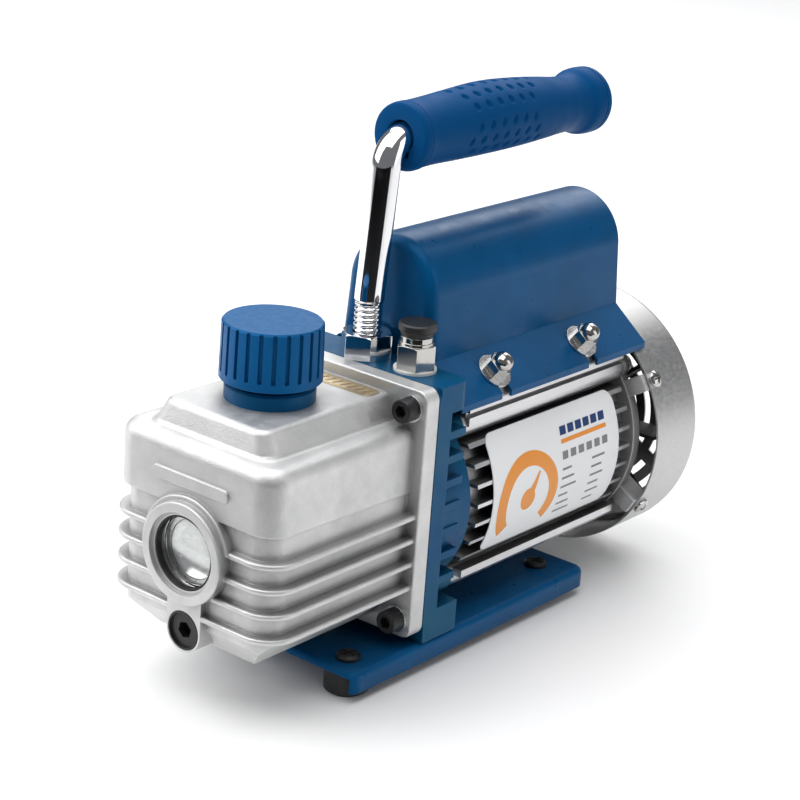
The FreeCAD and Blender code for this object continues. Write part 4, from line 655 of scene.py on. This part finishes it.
def sheet_patch(corners, place, points, faces):
    """A patch between four (u, v) corners, cut finely enough to follow a curved sheet."""
    (u0, v0), (u1, v1), (u2, v2), (u3, v3) = corners
    long_side = max(abs(u1 - u0), abs(v1 - v0), abs(u2 - u1), abs(v2 - v1))
    n = max(1, math.ceil(long_side / PRINT_STEP))
    base = len(points)
    for i in range(n + 1):
        s = i / n
        for j in range(n + 1):
            t = j / n
            u = (u0 * (1 - s) + u1 * s) * (1 - t) + (u3 * (1 - s) + u2 * s) * t
            v = (v0 * (1 - s) + v1 * s) * (1 - t) + (v3 * (1 - s) + v2 * s) * t
            points.append(place(u, v))
    for i in range(n):
        for j in range(n):
            a = base + i * (n + 1) + j
            faces.append((a, a + n + 1, a + n + 2, a + 1))


def bar(u0, u1, v0, v1, slant=0.0):
    """The corners of a bar whose upper edge is shifted by slant."""
    return [(u0, v0), (u1, v0), (u1 + slant, v1), (u0 + slant, v1)]


def arc_bars(u, v, r0, r1, start, end, steps):
    """A band of a ring as short four-cornered parts."""
    parts = []
    for i in range(steps):
        a = math.radians(start + (end - start) * i / steps)
        b = math.radians(start + (end - start) * (i + 1) / steps)
        inner = [(u + r0 * math.cos(t), v + r0 * math.sin(t)) for t in (a, b)]
        outer = [(u + r1 * math.cos(t), v + r1 * math.sin(t)) for t in (a, b)]
        parts.append([inner[0], outer[0], outer[1], inner[1]])
    return parts


def needle(u, v, length, half, angle):
    """The corners of a pointer from (u, v), which narrows from half to a fifth of that."""
    a = math.radians(angle)
    along = (math.cos(a), math.sin(a))
    side = (-along[1] * half, along[0] * half)
    tip = (u + along[0] * length, v + along[1] * length)
    narrow = (side[0] * NEEDLE_TAPER, side[1] * NEEDLE_TAPER)
    return [(u - side[0], v - side[1]), (tip[0] - narrow[0], tip[1] - narrow[1]),
            (tip[0] + narrow[0], tip[1] + narrow[1]), (u + side[0], v + side[1])]


def print_piece(name, parts, place, material):
    """Four-cornered parts printed on a sheet, as one piece."""
    points, faces = [], []
    for corners in parts:
        sheet_patch(corners, place, points, faces)
    add_piece(name, points, faces, material)


GAUGE_U = 26.0
GAUGE_V = -5.0
TEXT_U = 51.0
COLUMN_U = 74.0
TITLE_PITCH = 6.0
MARK_PITCH = 6.2
LINE_TOP = 2.0
LINE_PITCH = 4.4
LINE_HIGH = 1.1
LINES = 6
MARKS = 6


def column_starts(pitch):
    """Where the six marks of a row begin."""
    return [TEXT_U + pitch * i for i in range(MARKS)]


def label_print(orange, navy, grey):
    """A plain gauge sign and rows of bars where a real label has its words."""
    sign = arc_bars(GAUGE_U, GAUGE_V, 15.4, 22.2, -42.0, 222.0, 72)
    sign += arc_bars(GAUGE_U, GAUGE_V, 0.2, 5.2, 0.0, 360.0, 24)
    sign.append(needle(GAUGE_U, GAUGE_V, 14.0, 2.6, 56.0))
    sign.append(bar(TEXT_U, 86.0, 14.6, 16.6))
    print_piece("label_sign", sign, label_point, orange)
    title = [bar(u, u + 4.6, 18.4, 22.4, 0.6) for u in column_starts(TITLE_PITCH)]
    print_piece("label_title", title, label_point, navy)
    lines = [bar(u, u + 4.2, 7.2, 11.0) for u in column_starts(MARK_PITCH)]
    for row in range(LINES):
        v = LINE_TOP - LINE_PITCH * row
        lines.append(bar(TEXT_U, TEXT_U + 7.0 + 2.5 * (row % 3), v, v + LINE_HIGH))
        lines.append(bar(COLUMN_U, COLUMN_U + 10.0 - 2.0 * (row % 2), v, v + LINE_HIGH))
    print_piece("label_lines", lines, label_point, grey)


def sticker_point(u, v):
    """A place on the flat foil strip: u along X and v along Y."""
    return (u, v, STICKER_TOP + INK)


DASH_START = -19.0
DASH_PITCH = 4.0
DASHES = 11
DASH_WIDE = 1.4
DASH_ENDS = (-63.2, -58.2)
DASH_SLANT = 1.6
BORDER_ENDS = (-20.5, 24.2)
BORDER_PLACES = (-64.6, -57.1)
BORDER_WIDE = 0.3


def sticker_print(material):
    """Slanted dashes between two thin lines on the foil strip."""
    starts = [DASH_START + DASH_PITCH * i for i in range(DASHES)]
    dashes = [bar(u, u + DASH_WIDE, *DASH_ENDS, DASH_SLANT) for u in starts]
    dashes += [bar(*BORDER_ENDS, v, v + BORDER_WIDE) for v in BORDER_PLACES]
    print_piece("sticker_dashes", dashes, sticker_point, material)


# ---------------------------------------------------------------- stage
FLOOR_R = 9.0             # metres, as is everything from here on
FLOOR_STEPS = 64


def make_floor():
    """A plain pale floor, round and much larger than the view."""
    mesh = bpy.data.meshes.new("floor")
    turns = [2 * math.pi * i / FLOOR_STEPS for i in range(FLOOR_STEPS)]
    ring = [(FLOOR_R * math.cos(turn), FLOOR_R * math.sin(turn), 0.0) for turn in turns]
    mesh.from_pydata(ring, [], [list(range(FLOOR_STEPS))])
    floor = bpy.data.objects.new("floor", mesh)
    bpy.context.scene.collection.objects.link(floor)
    g = Graph("floor")
    g.colour(g.mix(g.noise(3.0, 3.0), (0.90, 0.90, 0.90), (0.93, 0.93, 0.93)))
    g.set(Roughness=0.7)
    mesh.materials.append(g.material)


PUMP_MIDDLE = (0.0, 0.0, 0.1)
LIGHTS = [                # name, azimuth, elevation, distance, width and height, watts, target
    ("key", -50.0, 35.0, 1.6, (1.5, 1.5), 19.0, PUMP_MIDDLE),
    ("top", 10.0, 80.0, 1.5, (1.7, 1.7), 22.5, PUMP_MIDDLE),
    ("side", 112.0, 18.0, 1.7, (0.9, 1.3), 4.8, PUMP_MIDDLE),
    ("rim", 195.0, 38.0, 1.8, (1.3, 0.8), 5.0, PUMP_MIDDLE),
    ("backdrop", 218.0, 75.0, 1.7, (2.4, 2.4), 30.0, (-1.0, 1.3, 0.0)),
]


def softbox(name, azimuth, elevation, distance, size, power, target):
    """An area light aimed at its target, where azimuth 0 is in front of the pump."""
    a = math.radians(azimuth)
    e = math.radians(elevation)
    back = Vector((math.sin(a) * math.cos(e), -math.cos(a) * math.cos(e), math.sin(e)))
    light = bpy.data.lights.new(name, "AREA")
    light.shape = "RECTANGLE"
    light.size = size[0]
    light.size_y = size[1]
    light.energy = power
    lamp = bpy.data.objects.new(name, light)
    lamp.location = Vector(target) + back * distance
    lamp.rotation_euler = back.to_track_quat("Z", "Y").to_euler()
    bpy.context.scene.collection.objects.link(lamp)


def make_lights():
    for row in LIGHTS:
        softbox(*row)


CARD_NEAR = 0.26          # the dark card's inner and outer radius round the handle's foot
CARD_FAR = 4.50
CARD_START = -38.0        # its two ends, in degrees round the handle's foot from straight in front
CARD_END = 78.0
CARD_Z = 0.002
CARD_STEPS = 24


def make_dark_card():
    """A black studio card flat on the floor in front: the camera doesn't see it, but reflections do."""
    mesh = bpy.data.meshes.new("dark_card")
    points = []
    for i in range(CARD_STEPS + 1):
        turn = math.radians(CARD_START + (CARD_END - CARD_START) * i / CARD_STEPS)
        for r in (CARD_NEAR, CARD_FAR):
            points.append((r * math.sin(turn), HANDLE_Y * MM - r * math.cos(turn), CARD_Z))
    faces = [(2 * i, 2 * i + 1, 2 * i + 3, 2 * i + 2) for i in range(CARD_STEPS)]
    mesh.from_pydata(points, [], faces)
    card = bpy.data.objects.new("dark_card", mesh)
    bpy.context.scene.collection.objects.link(card)
    g = Graph("dark_card")
    g.colour(g.mix(g.noise(3.0, 3.0), (0.012, 0.012, 0.013), (0.022, 0.022, 0.023)))
    g.set(Roughness=0.9, Specular_IOR_Level=0.0)
    mesh.materials.append(g.material)
    card.visible_camera = False
    card.visible_diffuse = False
    card.visible_shadow = False
    card.visible_transmission = False


WORLD_TINT = (0.93, 0.95, 1.0, 1.0)
WORLD_LEVEL = 0.18


def make_world():
    world = bpy.data.worlds.new("studio")
    world.use_nodes = True
    background = world.node_tree.nodes["Background"]
    background.inputs["Color"].default_value = WORLD_TINT
    background.inputs["Strength"].default_value = WORLD_LEVEL
    bpy.context.scene.world = world


CAMERA_PLACE = Vector((0.5631, -0.7236, 0.4271))
CAMERA_AZIMUTH = 38.28
CAMERA_ELEVATION = 19.62
CAMERA_ROLL = 4.18
CAMERA_LENS = 98.99
CAMERA_SENSOR = 36.0


def make_camera():
    data = bpy.data.cameras.new("camera")
    data.lens = CAMERA_LENS
    data.sensor_width = CAMERA_SENSOR
    camera = bpy.data.objects.new("camera", data)
    turn = Matrix.Rotation(math.radians(CAMERA_AZIMUTH), 4, "Z")
    tilt = Matrix.Rotation(math.radians(90.0 - CAMERA_ELEVATION), 4, "X")
    roll = Matrix.Rotation(math.radians(CAMERA_ROLL), 4, "Z")
    camera.matrix_world = Matrix.Translation(CAMERA_PLACE) @ turn @ tilt @ roll
    bpy.context.scene.collection.objects.link(camera)
    bpy.context.scene.camera = camera


# ---------------------------------------------------------------- the scene
materials = make_materials()
dress_nodes(materials)
handle_grip(materials["grip_rubber"])
handle_rod(materials["chrome"])
sight_backing(metal("sight_dish", (0.66, 0.66, 0.65), 0.2, 700.0, depth=0.004))
sight_seal(materials["black_rubber"])
label_print(printed("print_orange", (0.84, 0.30, 0.035)),
            printed("print_navy", (0.012, 0.045, 0.16)),
            printed("print_grey", (0.20, 0.21, 0.22)))
sticker_print(printed("print_brown", (0.26, 0.17, 0.08)))
make_floor()
make_dark_card()
make_lights()
make_world()
make_camera()
bpy.context.scene.view_settings.view_transform = "Standard"
